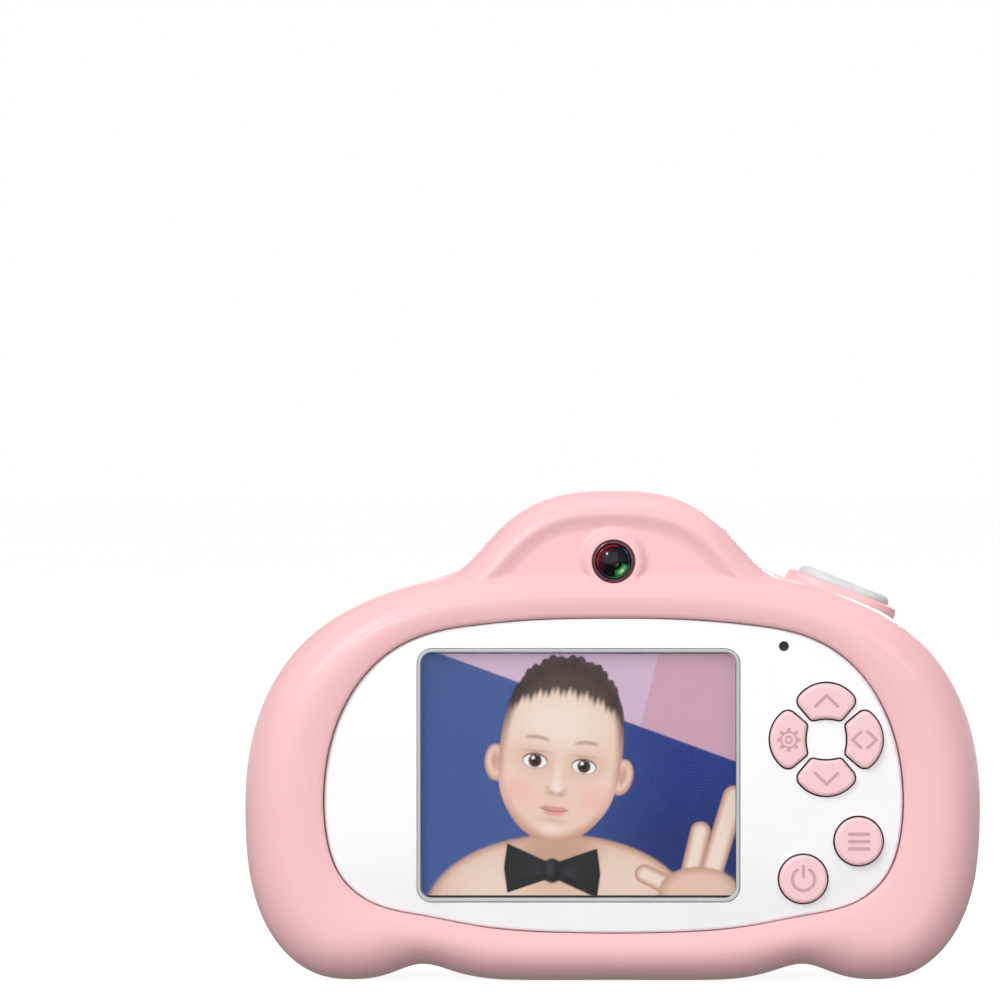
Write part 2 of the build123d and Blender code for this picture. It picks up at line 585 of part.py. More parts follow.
with BuildPart() as up_key:
    add(key("up"))
with BuildPart() as down_key:
    add(key("down"))
with BuildPart() as settings_key:
    add(key("settings"))
with BuildPart() as flip_key:
    add(key("flip"))
with BuildPart() as menu_key:
    add(key("menu"))
with BuildPart() as power_key:
    add(key("power"))
with BuildPart() as key_switches:
    for sx, sz in KEY_POSITIONS.values():
        # a square body with a hole for the key's pin and four legs on the board
        add(slab(sx, sz, 4.4, 4.4, BOARD_BACK_Y, 13.1, 0.3))
        add(disc(sx, sz, 0.98, 11.5, 14), mode=Mode.SUBTRACT)
        for dx in (-2.4, 2.4):
            for dz in (-1.4, 1.4):
                add(slab(sx + dx, sz + dz, 0.6, 0.6, BOARD_BACK_Y, 11.2))

# ---------------------------------------------------------------- shutter button on the shoulder
with BuildPart() as shutter_button:
    add(shutter_oval(BUTTON_LENGTH, BUTTON_WIDTH, -3.0, 1.95))
    fillet(shutter_button.faces().sort_by(Axis(SHUTTER.origin, SHUTTER.z_dir))[-1].edges(), 0.9)
    add(shutter_oval(BUTTON_LENGTH + 1.2, BUTTON_WIDTH, -3.0, -2.25))
    add(shutter_pin(1.0, -5.6, -3.0))
with BuildPart() as shutter_switch:
    add(shutter_block(5.0, 5.0, -7.4, -4.2))
    add(shutter_pin(1.08, -6.6, -4), mode=Mode.SUBTRACT)
with BuildPart() as shutter_board:
    add(shutter_block(6.8, 10.8, -8.2, -7.4))
with BuildPart() as shutter_leads:
    add(lead([(-27.4, 7.0, 42.2), (-26.6, 7.4, 39.6), (-26.4, 8.6, 37.4), (-26.4, 8.95, 36.6)], 0.35))
    add(lead([(-28.6, 7.0, 41.9), (-27.8, 7.4, 39.4), (-27.6, 8.6, 37.4), (-27.6, 8.95, 36.6)], 0.35))

# ---------------------------------------------------------------- ports and card
with BuildPart() as port_cover:
    add(belly_slot(COVER_LENGTH, COVER_WIDTH, 0.3, 1.5))
    fillet(port_cover.faces().sort_by(Axis.Z)[0].edges(), 0.3)
    add(belly_slot(6.8, 1.6, 1.5, 2.9, USB_X))
    add(belly_slot(10.0, 1.0, 1.5, 2.0, CARD_X))
with BuildPart() as usb_socket:
    add(slab(USB_X, 5.95, 7.5, 5.5, 6.8, BOARD_FRONT_Y, 0.5))
    add(slab(USB_X, 5.6, 6.9, 5.0, 7.1, 9.1), mode=Mode.SUBTRACT)
    add(slab(USB_X, 6.3, 4.6, 3.9, 7.8, 8.4))
with BuildPart() as card_socket:
    add(slab(CARD_X, 10.9, 14.0, 15.0, 7.5, BOARD_FRONT_Y, 0.3))
    add(slab(CARD_X, 10.6, 11.2, 14.6, 7.95, 8.95), mode=Mode.SUBTRACT)
with BuildPart() as memory_card:
    add(slab(CARD_X, 10.1, 11.0, 15.0, 8.0, 8.75, 0.6))
    add(slab(CARD_X, 2.95, 10.0, 0.6, 8.0, 8.9))

# ---------------------------------------------------------------- main board and what stands on it
with BuildPart() as main_board:
    with BuildSketch(front_plane(BOARD_FRONT_Y)) as board_layer:
        with Locations((0.75, 24.6)):
            Rectangle(37.5, 42.8)
        with Locations((-3.5, 23.6)):
            Rectangle(64, 32.8)
        with Locations((2.3, 42)):
            Rectangle(52.4, 8)
        fillet(board_layer.vertices(), 0.9)
        with Locations(*SHELL_SCREWS):
            Circle(2.8, mode=Mode.SUBTRACT)
        with Locations(*BOARD_SCREWS):
            Circle(0.95, mode=Mode.SUBTRACT)
    extrude(amount=BOARD_BACK_Y - BOARD_FRONT_Y, dir=(0, 1, 0))
with BuildPart() as board_screws:
    for px, pz in BOARD_SCREWS:
        add(screw(px, pz, BOARD_BACK_Y, 1.5, 0.9, 0.8, 5.0))
with BuildPart() as shell_screws:
    for px, pz in SHELL_SCREWS:
        add(screw(px, pz, 15.0, 1.8, 1.2, 1.0, 9.6))
with BuildPart() as processor_chip:
    add(slab(6.0, 29.0, 12.0, 12.0, BOARD_BACK_Y, 11.8, 0.3))
with BuildPart() as memory_chip:
    add(slab(-9.5, 30.0, 8.0, 12.0, BOARD_BACK_Y, 11.6, 0.2))
small_parts = [
    (6.0, 18.0, 5.0, 3.2, 0.9), (-9.5, 19.0, 4.0, 4.0, 1.2), (18.5, 30.0, 4.0, 5.0, 1.4),
    (18.5, 22.0, 3.2, 1.6, 0.8), (18.5, 18.5, 3.2, 1.6, 0.8), (18.5, 36.5, 3.2, 1.6, 0.8),
    (-1.6, 25.0, 1.0, 2.0, 0.6), (-1.6, 29.0, 1.0, 2.0, 0.6), (-1.6, 33.0, 1.0, 2.0, 0.6),
    (14.0, 25.0, 1.0, 2.0, 0.6), (14.0, 33.0, 1.0, 2.0, 0.6), (-16.5, 26.0, 1.2, 2.2, 0.7),
    (7.0, 12.0, 13.0, 2.6, 1.0),
]  # fmt: skip
with BuildPart() as board_components:
    for cx, cz, width, height, tall in small_parts:
        add(slab(cx, cz, width, height, BOARD_BACK_Y, BOARD_BACK_Y + tall, 0.1))
    add(slab(-5.6, 12.6, 8.2, 2.6, 8.05, BOARD_FRONT_Y, 0.1))

# ---------------------------------------------------------------- power and sound
with BuildPart() as battery:
    add(slab(0, 33.2, 34.0, 28.0, 4.0, 9.0, 1.4))
with BuildPart() as battery_pad:
    add(slab(0, 33.2, 28.0, 22.0, 9.0, BOARD_FRONT_Y))
with BuildPart() as battery_plug:
    add(slab(-13.4, 13.9, 4.4, 3.4, 6.2, BOARD_FRONT_Y, 0.3))
with BuildPart() as battery_leads:
    add(lead([(-12.6, 6.5, 19.12), (-12.6, 6.6, 18.2), (-12.7, 7.2, 16.6), (-12.7, 7.3, 15.72)], 0.5))
    add(lead([(-14.2, 6.5, 19.12), (-14.2, 6.6, 18.2), (-14.1, 7.2, 16.6), (-14.1, 7.3, 15.72)], 0.5))
with BuildPart() as speaker:
    with BuildSketch(front_plane(-3.8)):
        with Locations(SPEAKER):
            SlotOverall(SPEAKER_LENGTH, SPEAKER_WIDTH, rotation=90)
    extrude(amount=3.6, dir=(0, 1, 0))
    with BuildSketch(front_plane(-3.8)):
        with Locations(SPEAKER):
            SlotOverall(SPEAKER_LENGTH - 2, SPEAKER_WIDTH - 2, rotation=90)
    extrude(amount=0.6, dir=(0, 1, 0), mode=Mode.SUBTRACT)
with BuildPart() as speaker_mesh:
    with BuildSketch(front_plane(-4.4)):
        with Locations(SPEAKER):
            SlotOverall(SPEAKER_LENGTH, SPEAKER_WIDTH, rotation=90)
    extrude(amount=0.6, dir=(0, 1, 0))
with BuildPart() as speaker_leads:
    add(lead([(23.8, 0.15, 22), (23.6, 3.5, 19.0), (23.4, 8.2, 17.0), (23.4, 9.0, 15.6)], 0.35))
    add(lead([(25.0, 0.15, 22), (24.8, 3.5, 19.0), (24.6, 8.2, 17.0), (24.6, 9.0, 15.6)], 0.35))
with BuildPart() as microphone_boot:
    add(disc(*MICROPHONE, 2.2, -4.4, -1.8))
    add(disc(*MICROPHONE, 1.7, -3.6, -1), mode=Mode.SUBTRACT)
    add(disc(*MICROPHONE, 0.7, -5, -3), mode=Mode.SUBTRACT)
with BuildPart() as microphone:
    add(disc(*MICROPHONE, 1.65, -3.6, -2.0))
with BuildPart() as microphone_leads:
    add(lead([(-17.2, -1.6, 9.9), (-17.0, 2.0, 11.4), (-16.8, 6.8, 12.6), (-16.6, 9.0, 13.4)], 0.3))
    add(lead([(-18.3, -1.6, 9.9), (-18.1, 2.0, 11.4), (-17.9, 6.8, 12.6), (-17.7, 9.0, 13.4)], 0.3))

# ---------------------------------------------------------------- one file per part
front_shell.part.label = "front_shell"
export_step(front_shell.part, "parts/front_shell.step")
rear_shell.part.label = "rear_shell"
export_step(rear_shell.part, "parts/rear_shell.step")
rear_panel.part.label = "rear_panel"
export_step(rear_panel.part, "parts/rear_panel.step")
display_window.part.label = "display_window"
export_step(display_window.part, "parts/display_window.step")
lens_trim_ring.part.label = "lens_trim_ring"
export_step(lens_trim_ring.part, "parts/lens_trim_ring.step")
lens_inner_bezel.part.label = "lens_inner_bezel"
export_step(lens_inner_bezel.part, "parts/lens_inner_bezel.step")
lens_bezel.part.label = "lens_bezel"
export_step(lens_bezel.part, "parts/lens_bezel.step")
lens_cover_glass.part.label = "lens_cover_glass"
export_step(lens_cover_glass.part, "parts/lens_cover_glass.step")
camera_lens_holder.part.label = "camera_lens_holder"
export_step(camera_lens_holder.part, "parts/camera_lens_holder.step")
camera_lens_barrel.part.label = "camera_lens_barrel"
export_step(camera_lens_barrel.part, "parts/camera_lens_barrel.step")
camera_sensor.part.label = "camera_sensor"
export_step(camera_sensor.part, "parts/camera_sensor.step")
camera_board.part.label = "camera_board"
export_step(camera_board.part, "parts/camera_board.step")
camera_screws.part.label = "camera_screws"
export_step(camera_screws.part, "parts/camera_screws.step")
camera_flex.part.label = "camera_flex"
export_step(camera_flex.part, "parts/camera_flex.step")
flash_window.part.label = "flash_window"
export_step(flash_window.part, "parts/flash_window.step")
flash_reflector.part.label = "flash_reflector"
export_step(flash_reflector.part, "parts/flash_reflector.step")
flash_led.part.label = "flash_led"
export_step(flash_led.part, "parts/flash_led.step")
flash_board.part.label = "flash_board"
export_step(flash_board.part, "parts/flash_board.step")
flash_leads.part.label = "flash_leads"
export_step(flash_leads.part, "parts/flash_leads.step")
display_gasket.part.label = "display_gasket"
export_step(display_gasket.part, "parts/display_gasket.step")
display_module.part.label = "display_module"
export_step(display_module.part, "parts/display_module.step")
display_flex.part.label = "display_flex"
export_step(display_flex.part, "parts/display_flex.step")
indicator_lens.part.label = "indicator_lens"
export_step(indicator_lens.part, "parts/indicator_lens.step")
indicator_led.part.label = "indicator_led"
export_step(indicator_led.part, "parts/indicator_led.step")
selfie_bezel.part.label = "selfie_bezel"
export_step(selfie_bezel.part, "parts/selfie_bezel.step")
selfie_glass.part.label = "selfie_glass"
export_step(selfie_glass.part, "parts/selfie_glass.step")
selfie_camera.part.label = "selfie_camera"
export_step(selfie_camera.part, "parts/selfie_camera.step")
selfie_flex.part.label = "selfie_flex"
export_step(selfie_flex.part, "parts/selfie_flex.step")
up_key.part.label = "up_key"
export_step(up_key.part, "parts/up_key.step")
down_key.part.label = "down_key"
export_step(down_key.part, "parts/down_key.step")
settings_key.part.label = "settings_key"
export_step(settings_key.part, "parts/settings_key.step")
flip_key.part.label = "flip_key"
export_step(flip_key.part, "parts/flip_key.step")
menu_key.part.label = "menu_key"
export_step(menu_key.part, "parts/menu_key.step")
power_key.part.label = "power_key"
export_step(power_key.part, "parts/power_key.step")
key_switches.part.label = "key_switches"
export_step(key_switches.part, "parts/key_switches.step")
shutter_button.part.label = "shutter_button"
export_step(shutter_button.part, "parts/shutter_button.step")
shutter_switch.part.label = "shutter_switch"
export_step(shutter_switch.part, "parts/shutter_switch.step")
shutter_board.part.label = "shutter_board"
export_step(shutter_board.part, "parts/shutter_board.step")
shutter_leads.part.label = "shutter_leads"
export_step(shutter_leads.part, "parts/shutter_leads.step")
port_cover.part.label = "port_cover"
export_step(port_cover.part, "parts/port_cover.step")
usb_socket.part.label = "usb_socket"
export_step(usb_socket.part, "parts/usb_socket.step")
card_socket.part.label = "card_socket"
export_step(card_socket.part, "parts/card_socket.step")
memory_card.part.label = "memory_card"
export_step(memory_card.part, "parts/memory_card.step")
main_board.part.label = "main_board"
export_step(main_board.part, "parts/main_board.step")
board_screws.part.label = "board_screws"
export_step(board_screws.part, "parts/board_screws.step")
shell_screws.part.label = "shell_screws"
export_step(shell_screws.part, "parts/shell_screws.step")
processor_chip.part.label = "processor_chip"
export_step(processor_chip.part, "parts/processor_chip.step")
memory_chip.part.label = "memory_chip"
export_step(memory_chip.part, "parts/memory_chip.step")
board_components.part.label = "board_components"
export_step(board_components.part, "parts/board_components.step")
battery.part.label = "battery"
export_step(battery.part, "parts/battery.step")
battery_pad.part.label = "battery_pad"
export_step(battery_pad.part, "parts/battery_pad.step")
battery_plug.part.label = "battery_plug"
export_step(battery_plug.part, "parts/battery_plug.step")
battery_leads.part.label = "battery_leads"
export_step(battery_leads.part, "parts/battery_leads.step")
speaker.part.label = "speaker"
export_step(speaker.part, "parts/speaker.step")
speaker_mesh.part.label = "speaker_mesh"
export_step(speaker_mesh.part, "parts/speaker_mesh.step")
speaker_leads.part.label = "speaker_leads"
export_step(speaker_leads.part, "parts/speaker_leads.step")
microphone_boot.part.label = "microphone_boot"
export_step(microphone_boot.part, "parts/microphone_boot.step")
microphone.part.label = "microphone"
export_step(microphone.part, "parts/microphone.step")
microphone_leads.part.label = "microphone_leads"
export_step(microphone_leads.part, "parts/microphone_leads.step")
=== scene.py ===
import json
from math import cos, pi, radians, sin

import bmesh
import bpy
import numpy as np
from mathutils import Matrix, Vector, kdtree


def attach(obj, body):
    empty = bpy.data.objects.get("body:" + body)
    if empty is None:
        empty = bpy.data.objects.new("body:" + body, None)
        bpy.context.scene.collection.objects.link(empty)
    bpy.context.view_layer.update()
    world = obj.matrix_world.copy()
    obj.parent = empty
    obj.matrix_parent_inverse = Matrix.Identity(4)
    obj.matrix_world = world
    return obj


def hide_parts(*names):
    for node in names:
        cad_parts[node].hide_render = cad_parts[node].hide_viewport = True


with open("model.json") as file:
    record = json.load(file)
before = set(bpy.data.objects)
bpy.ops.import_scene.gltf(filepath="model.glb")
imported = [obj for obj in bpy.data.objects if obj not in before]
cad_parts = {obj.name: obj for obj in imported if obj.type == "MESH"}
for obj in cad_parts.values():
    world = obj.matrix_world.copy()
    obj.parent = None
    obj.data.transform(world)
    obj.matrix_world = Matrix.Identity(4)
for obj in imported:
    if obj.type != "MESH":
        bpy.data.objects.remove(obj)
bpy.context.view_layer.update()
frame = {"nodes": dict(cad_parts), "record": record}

MM = 0.001

# ------------------------------------------------------------------ driving sizes, in millimetres
LENS_Z = 24.5
SIDE_FRONT_Y = 2.0
FRONT_SEAM_Y, REAR_SEAM_Y = 11.58, 11.62  # the two shells' edges, a hair apart
SEAM_BEVEL = 0.22
SIDE_BACK_Y = 12.4
FACE_Y = -6.4
WALL = 2.0
LENS_FLOOR_Y, LENS_WELL_R = -16.6, 12.2
BARREL_Y, BARREL_R = -14.6, 7.5  # opening for the lens barrel in the floor of the lens well
INNER_FACE_Y = -14.6  # how far forward the front shell's hollow may reach
PANEL_SEAT_Y, PANEL_MIDDLE_Z = 16.4, 27.0
REAR_WALL_Y = 14.2
SELFIE_Z = 54.8
SELFIE_COLLAR_Y, SELFIE_COLLAR_R = 17.95, 6.4
DPAD_X, DPAD_Z = -27.6, 31.7
PETAL_REACH = 4.9
PETAL_PLACES = ((0, PETAL_REACH), (0, -PETAL_REACH), (PETAL_REACH, 0), (-PETAL_REACH, 0))
MENU_KEY = (-31.8, 18.5)
POWER_KEY = (-24.6, 13.6)
KEY_TOP_Y = 19.0
KEY_POCKET_Y = 14.8  # floor of the pockets that the keys' flanges move in
PAD_POCKET_R, ROUND_POCKET_R, KEY_BORE_R = 8.3, 4.2, 1.7
INDICATOR = (-22.1, 43.8)
MICROPHONE = (-17.8, 9.9)
SOUND_ARC_R, SOUND_HOLE_R = 23.45, 0.8
SOUND_ANGLES = (28, 20, 12, 4, -4, -12, -20, -28)
OPEN_SOUND_HOLES = (20, 12, 4)  # the others are dimples
WINDOW_X, WINDOW_Z = 4.55, 27.05
PICTURE_W, PICTURE_H = 40.9, 31.8
DISPLAY_X, DISPLAY_Z, DISPLAY_W, DISPLAY_H = 6.25, 26.8, 46.9, 35.4
SHUTTER_ORIGIN = Vector((-30.3, 4.6, 50.3))
SHUTTER_ACROSS = Vector((0.933, 0, 0.36))
SHUTTER_UP = Vector((-0.36, 0, 0.933))
SHUTTER_SEAT = (12.9, 8.9)  # length and width, as in the three slots below
USB_X, CARD_X, PORT_Y = -7.2, 5.6, 8.0
COVER_RECESS, USB_SLOT, CARD_SLOT = (24.8, 5.2), (8.8, 3.8), (12.6, 2.4)
CREASE = 35  # degrees; a sharper angle between two faces stays a hard edge

# Right half of the casing's outline without its hump, from the top centre to the belly's middle.
BODY = [
    (0, 54.4), (9, 54.3), (17, 53.6), (22.5, 52.5), (27.5, 51.25), (33.5, 48.9), (40, 44.5),
    (45, 37.7), (47.5, 29.8), (48, 20.5), (46.6, 10.3), (42.5, 3.3), (38.4, 0.7), (34.6, 0.1),
    (29.6, 0.7), (25, 2.1), (20.6, 1.1), (16.2, 0.2), (12, 0), (0, 0),
]  # fmt: skip
# The same for the hump, as far as the body's outline covers it, and for the white panel.
HUMP = [(0, 64), (6, 63.55), (11.2, 61.7), (15.1, 58.6), (18.2, 55.2), (20.6, 53.2), (24, 51.6)]
PANEL = [
    (0, 47.4), (10, 47.2), (18, 46.5), (24, 45.4), (29, 43.0), (33.2, 38.8), (36.2, 32.8),
    (37.5, 26), (37.3, 19.6), (35.4, 14), (31.5, 10.6), (25, 8.9), (16, 7.3), (7, 6.7), (0, 6.6),
]  # fmt: skip
# Side lobe sections: height, inner edge, outer edge, reach forward of SIDE_FRONT_Y.
LOBE = [
    (0, 32.4, 36.9, 3.6), (0.5, 30.6, 38.0, 5.6), (1.8, 28.2, 40.3, 8.4), (4.3, 26.0, 43.0, 11.6),
    (8.3, 25.5, 45.6, 13.5), (12.6, 26.5, 47.1, 14.0), (16.9, 28.5, 47.7, 13.6), (22.1, 31.1, 47.8, 12.7),
    (26.4, 33.0, 47.6, 11.8), (31.1, 33.9, 46.8, 10.8), (35.1, 33.6, 45.6, 9.8), (40.6, 32.0, 42.6, 8.3),
    (44.9, 29.3, 38.8, 6.5), (47.5, 27.0, 34.8, 5.2), (49.6, 25.6, 30.4, 3.4),
]  # fmt: skip
LOBE_TOP_Z = 49.6
# Lens dome: radius and reach forward of y = 0.
DOME = [
    (12.2, 17.95), (13.2, 18.05), (14.4, 17.85), (15.9, 17.0), (17.6, 15.2), (18.9, 11.8),
    (19.7, 8.4), (20.8, 5.0),
]  # fmt: skip
DOME_R, DOME_FOOT = 20.8, 5.0


# ------------------------------------------------------------------ curves and fields
def through(points, start=None, end=None, count=400):
    """A clamped cubic curve through the points, sampled evenly in its parameter."""
    p = np.array(points, float)
    t = np.concatenate(([0], np.cumsum(np.hypot(*np.diff(p, axis=0).T))))
    h = np.diff(t)
    n = len(p)
    m = np.zeros((n, n))
    rhs = np.zeros((n, 2))
    for i in range(1, n - 1):
        m[i, i - 1], m[i, i], m[i, i + 1] = h[i], 2 * (h[i - 1] + h[i]), h[i - 1]
        rhs[i] = 3 * (h[i] * (p[i] - p[i - 1]) / h[i - 1] + h[i - 1] * (p[i + 1] - p[i]) / h[i])
    m[0, 0] = m[-1, -1] = 1
    rhs[0] = start if start is not None else (p[1] - p[0]) / h[0]
    rhs[-1] = end if end is not None else (p[-1] - p[-2]) / h[-1]
    slope = np.linalg.solve(m, rhs)
    at = np.linspace(0, t[-1], count)
    k = np.clip(np.searchsorted(t, at, side="right") - 1, 0, n - 2)
    u = ((at - t[k]) / h[k])[:, None]
    hk = h[k][:, None]
    return (
        (2 * u**3 - 3 * u**2 + 1) * p[k]
        + (u**3 - 2 * u**2 + u) * hk * slope[k]
        + (-2 * u**3 + 3 * u**2) * p[k + 1]
        + (u**3 - u**2) * hk * slope[k + 1]
    )


def both_sides(half):
    """A right half with its mirror image added."""
    return np.concatenate((half, (half * (-1, 1))[::-1][1:]))


def profile(table, column):
    """One column of a table as a smooth function of its first column."""
    curve = through([(row[0], row[column]) for row in table])
    return lambda x: np.interp(x, curve[:, 0], curve[:, 1])


BODY_LINE = both_sides(through(BODY, (1, 0), (-1, 0), 3000))
HUMP_LINE = both_sides(through(HUMP, (1, 0), None, 1200))
PANEL_LINE = both_sides(through(PANEL, (1, 0), (-1, 0), 2000))


def radius_about(line, centre_z, angles):
    """How far the outline is from (0, centre_z) in each direction, and 0 where it has no point there."""
    a = np.arctan2(line[:, 1] - centre_z, line[:, 0])
    r = np.hypot(line[:, 0], line[:, 1] - centre_z)
    order = np.argsort(a)
    a, r = a[order], r[order]
    if a[-1] - a[0] > 6:
        return np.interp(angles, a, r, period=2 * pi)
    return np.interp(angles, a, r, left=0, right=0)


def smooth_max(a, b, soft):
    """The larger of the two, blended where they differ by less than soft."""
    gap = np.clip(0.5 + 0.5 * (a - b) / soft, 0, 1)
    return b + (a - b) * gap + soft * gap * (1 - gap)


def smooth_min(a, b, soft):
    return -smooth_max(-a, -b, soft)


def smooth_step(x, low, high):
    """0 at low and 1 at high, with an easy start and end; low may be the larger."""
    t = np.clip((x - low) / (high - low), 0, 1)
    return t * t * (3 - 2 * t)


class Edge:
    """Signed distance from an outline, positive inside."""

    def __init__(self, line, centre_z):
        self.tree = kdtree.KDTree(len(line))
        for i, (x, z) in enumerate(line):
            self.tree.insert((x, z, 0), i)
        self.tree.balance()
        self.line, self.centre_z = line, centre_z

    def __call__(self, x, z):
        flat = np.array([self.tree.find((a, b, 0))[2] for a, b in zip(x.ravel(), z.ravel())])
        angles = np.arctan2(z - self.centre_z, x)
        inside = np.hypot(x, z - self.centre_z) <= radius_about(self.line, self.centre_z, angles)
        return np.where(inside, 1, -1) * flat.reshape(x.shape)


body_edge = Edge(BODY_LINE, LENS_Z)
hump_edge = Edge(HUMP_LINE, LENS_Z)
panel_edge = Edge(PANEL_LINE, PANEL_MIDDLE_Z)
lobe_inner, lobe_outer, lobe_reach = (profile(LOBE, column) for column in (1, 2, 3))
dome_height = profile(DOME, 1)


def quarter(d, width, height):
    """A quarter-ellipse shoulder: 0 at the edge, height from width inwards, falling steeply outside."""
    inside = height * np.sqrt(np.clip(1 - (1 - np.clip(d / width, 0, 1)) ** 2, 0, 1))
    return np.where(d < 0, 4 * d, inside)


def front_height(x, z):
    """How far the front skin stands forward of y = 0, in millimetres."""
    d = body_edge(x, z)
    top = smooth_step(z, 28, 52)
    body = quarter(d, 7.5 + 5 * top, SIDE_FRONT_Y - FACE_Y) - SIDE_FRONT_Y
    rim = hump_edge(x, z)
    hump = quarter(rim, 2.6, 4.5) - SIDE_FRONT_Y - 0.45 * smooth_step(rim, 2.0, 3.4)
    across = np.abs(x)
    inner, outer, reach = lobe_inner(z), lobe_outer(z), lobe_reach(z)
    offset = (across - (inner + outer) / 2) / ((outer - inner) / 2)
    power = np.where(offset < 0, 3.2, 2.1)
    pillow = np.clip(1 - np.abs(offset) ** power, 0, 1) ** (1 / power)
    lobe = np.where((np.abs(offset) >= 1) | (z > LOBE_TOP_Z), -9.0, reach * pillow - SIDE_FRONT_Y)
    height = smooth_max(body, hump, 0.3)
    height = smooth_max(height, lobe, 0.55)
    r = np.hypot(x, z - LENS_Z)
    dome = np.where(r < DOME_R, dome_height(r), DOME_FOOT - 3.5 * (r - DOME_R))
    return np.maximum(smooth_max(height, dome, 1.4), -SIDE_FRONT_Y)


def back_height(x, z):
    """How far the rear skin stands back from y = 0, in millimetres."""
    inward, dip = body_edge(x, z), -panel_edge(x, z)
    crest = np.minimum(5.6, 0.62 * (inward + dip))
    across = np.clip((inward - crest) / np.maximum(inward + dip - crest, 0.1), 0, 1)
    body = quarter(inward, crest, 6.6) + SIDE_BACK_Y - 0.45 * across**2
    rim = hump_edge(x, z)
    hump = quarter(rim, 3.6, 5.5) + SIDE_BACK_Y - 0.7 * smooth_step(rim, 2.4, 5.2)
    height = smooth_max(body, hump, 0.9)
    # the lip beside the panel, then a steep line that lets the frame's own height through
    lip = 17.7 + 1.1 * np.sqrt(np.clip(1 - (1 - np.clip(dip / 0.6, 0, 1)) ** 2, 0, 1))
    height = smooth_min(height, lip + 3 * np.clip(dip - 0.5, 0, 9), 0.3)
    r = np.hypot(x, z - SELFIE_Z)
    collar = SELFIE_COLLAR_Y - 1.0 * smooth_step(r, 3.4, 4.9)
    near = smooth_step(r, SELFIE_COLLAR_R, 4.6)
    raised = height * (1 - near) + smooth_max(height, collar, 0.3) * near
    return np.maximum(np.where(r < SELFIE_COLLAR_R, raised, height), SIDE_BACK_Y)


# ------------------------------------------------------------------ meshes
def add_mesh(name, vertices, faces, finish, body="casing", crease=CREASE, scale=MM):
    """A new piece; scale turns its vertices into metres, and a piece without a body rides on none."""
    mesh = bpy.data.meshes.new(name)
    mesh.from_pydata([tuple(float(c) * scale for c in v) for v in vertices], [], [tuple(f) for f in faces])
    obj = bpy.data.objects.new(name, mesh)
    bpy.context.scene.collection.objects.link(obj)
    mesh.materials.append(finish)
    bm = bmesh.new()
    bm.from_mesh(mesh)
    bmesh.ops.recalc_face_normals(bm, faces=bm.faces)
    bm.to_mesh(mesh)
    bm.free()
    mesh.shade_smooth()
    mesh.set_sharp_from_angle(angle=radians(crease))
    if body:
        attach(obj, body)
    return obj


def ring_faces(rings, around, first=0):
    """Quads between successive closed rings of the same count."""
    faces = []
    for i in range(rings - 1):
        a, b = first + i * around, first + (i + 1) * around
        for j in range(around):
            k = (j + 1) % around
            faces.append((a + j, a + k, b + k, b + j))
    return faces


def closed_rings(name, rings, finish):
    """A ring-shaped solid from successive closed rings; the last joins back to the first."""
    around = len(rings[0])
    vertices = np.concatenate(rings)
    faces = ring_faces(len(rings), around)
    last = (len(rings) - 1) * around
    faces += [(last + j, last + (j + 1) % around, (j + 1) % around, j) for j in range(around)]
    return add_mesh(name, vertices, faces, finish)


def lathe(name, outline, z, finish, around=160):
    """A closed (radius, y) outline spun about the Y direction at height z."""
    angles = np.arange(around) * 2 * pi / around
    rings = [
        np.stack((r * np.cos(angles), np.full(around, float(y)), z + r * np.sin(angles)), 1)
        for r, y in outline
    ]  # fmt: skip
    return closed_rings(name, rings, finish)


def prism(outline, low, high, to_world):
    """A closed prism of a 2-D outline between two heights, placed by to_world(u, v, h)."""
    count = len(outline)
    vertices = [to_world(u, v, low) for u, v in outline] + [to_world(u, v, high) for u, v in outline]
    faces = [tuple(range(count))[::-1], tuple(range(count, 2 * count))]
    faces += [(i, (i + 1) % count, count + (i + 1) % count, count + i) for i in range(count)]
    return vertices, faces


def upright(u, v, h):
    """A prism in the front view's plane, its height running back along y."""
    return (u, h, v)


def on_shutter(u, v, h):
    return tuple(SHUTTER_ORIGIN + SHUTTER_ACROSS * u + Vector((0, -1, 0)) * v + SHUTTER_UP * h)


def under_belly(u, v, h):
    return (u, v, h)


def circle(x, z, radius, count=48):
    turns = [2 * pi * i / count for i in range(count)]
    return [(x + radius * cos(a), z + radius * sin(a)) for a in turns]


def slot_outline(x, y, length, width, count=16):
    r, half = width / 2, (length - width) / 2
    right = [(x + half + r * cos(radians(a)), y + r * sin(radians(a))) for a in np.linspace(-90, 90, count)]
    left = [(x - half + r * cos(radians(a)), y + r * sin(radians(a))) for a in np.linspace(90, 270, count)]
    return right + left


def rectangle(x, z, width, height):
    w, h = width / 2, height / 2
    return [(x - w, z - h), (x + w, z - h), (x + w, z + h), (x - w, z + h)]


def rounded_rectangle(x, z, width, height, corner, count=8):
    w, h = width / 2 - corner, height / 2 - corner
    out = []
    for sx, sz, start in ((1, 1, 0), (-1, 1, 90), (-1, -1, 180), (1, -1, 270)):
        for i in range(count + 1):
            a = radians(start + 90 * i / count)
            out.append((x + sx * w + corner * cos(a), z + sz * h + corner * sin(a)))
    return out


def bone_outline(grow, count=20):
    """The flash window: two round ends joined by a low bar, with small fillets where they meet."""
    r, cx, cz = 3.1 + grow, 6.8, 58.2
    top = 59.5 + grow
    start = np.degrees(np.arcsin((top - cz) / r))
    turns = np.linspace(-90, 180 - start - 24, count)
    right = [(cx + r * cos(radians(a)), cz + r * sin(radians(a))) for a in turns]
    x_in = right[-1][0]
    waist = [(x_in - 0.55, top + 0.55), (x_in - 1.25, top + 0.1)]
    left = [(-x, z) for x, z in (right + waist)[::-1]]
    return right + waist + left


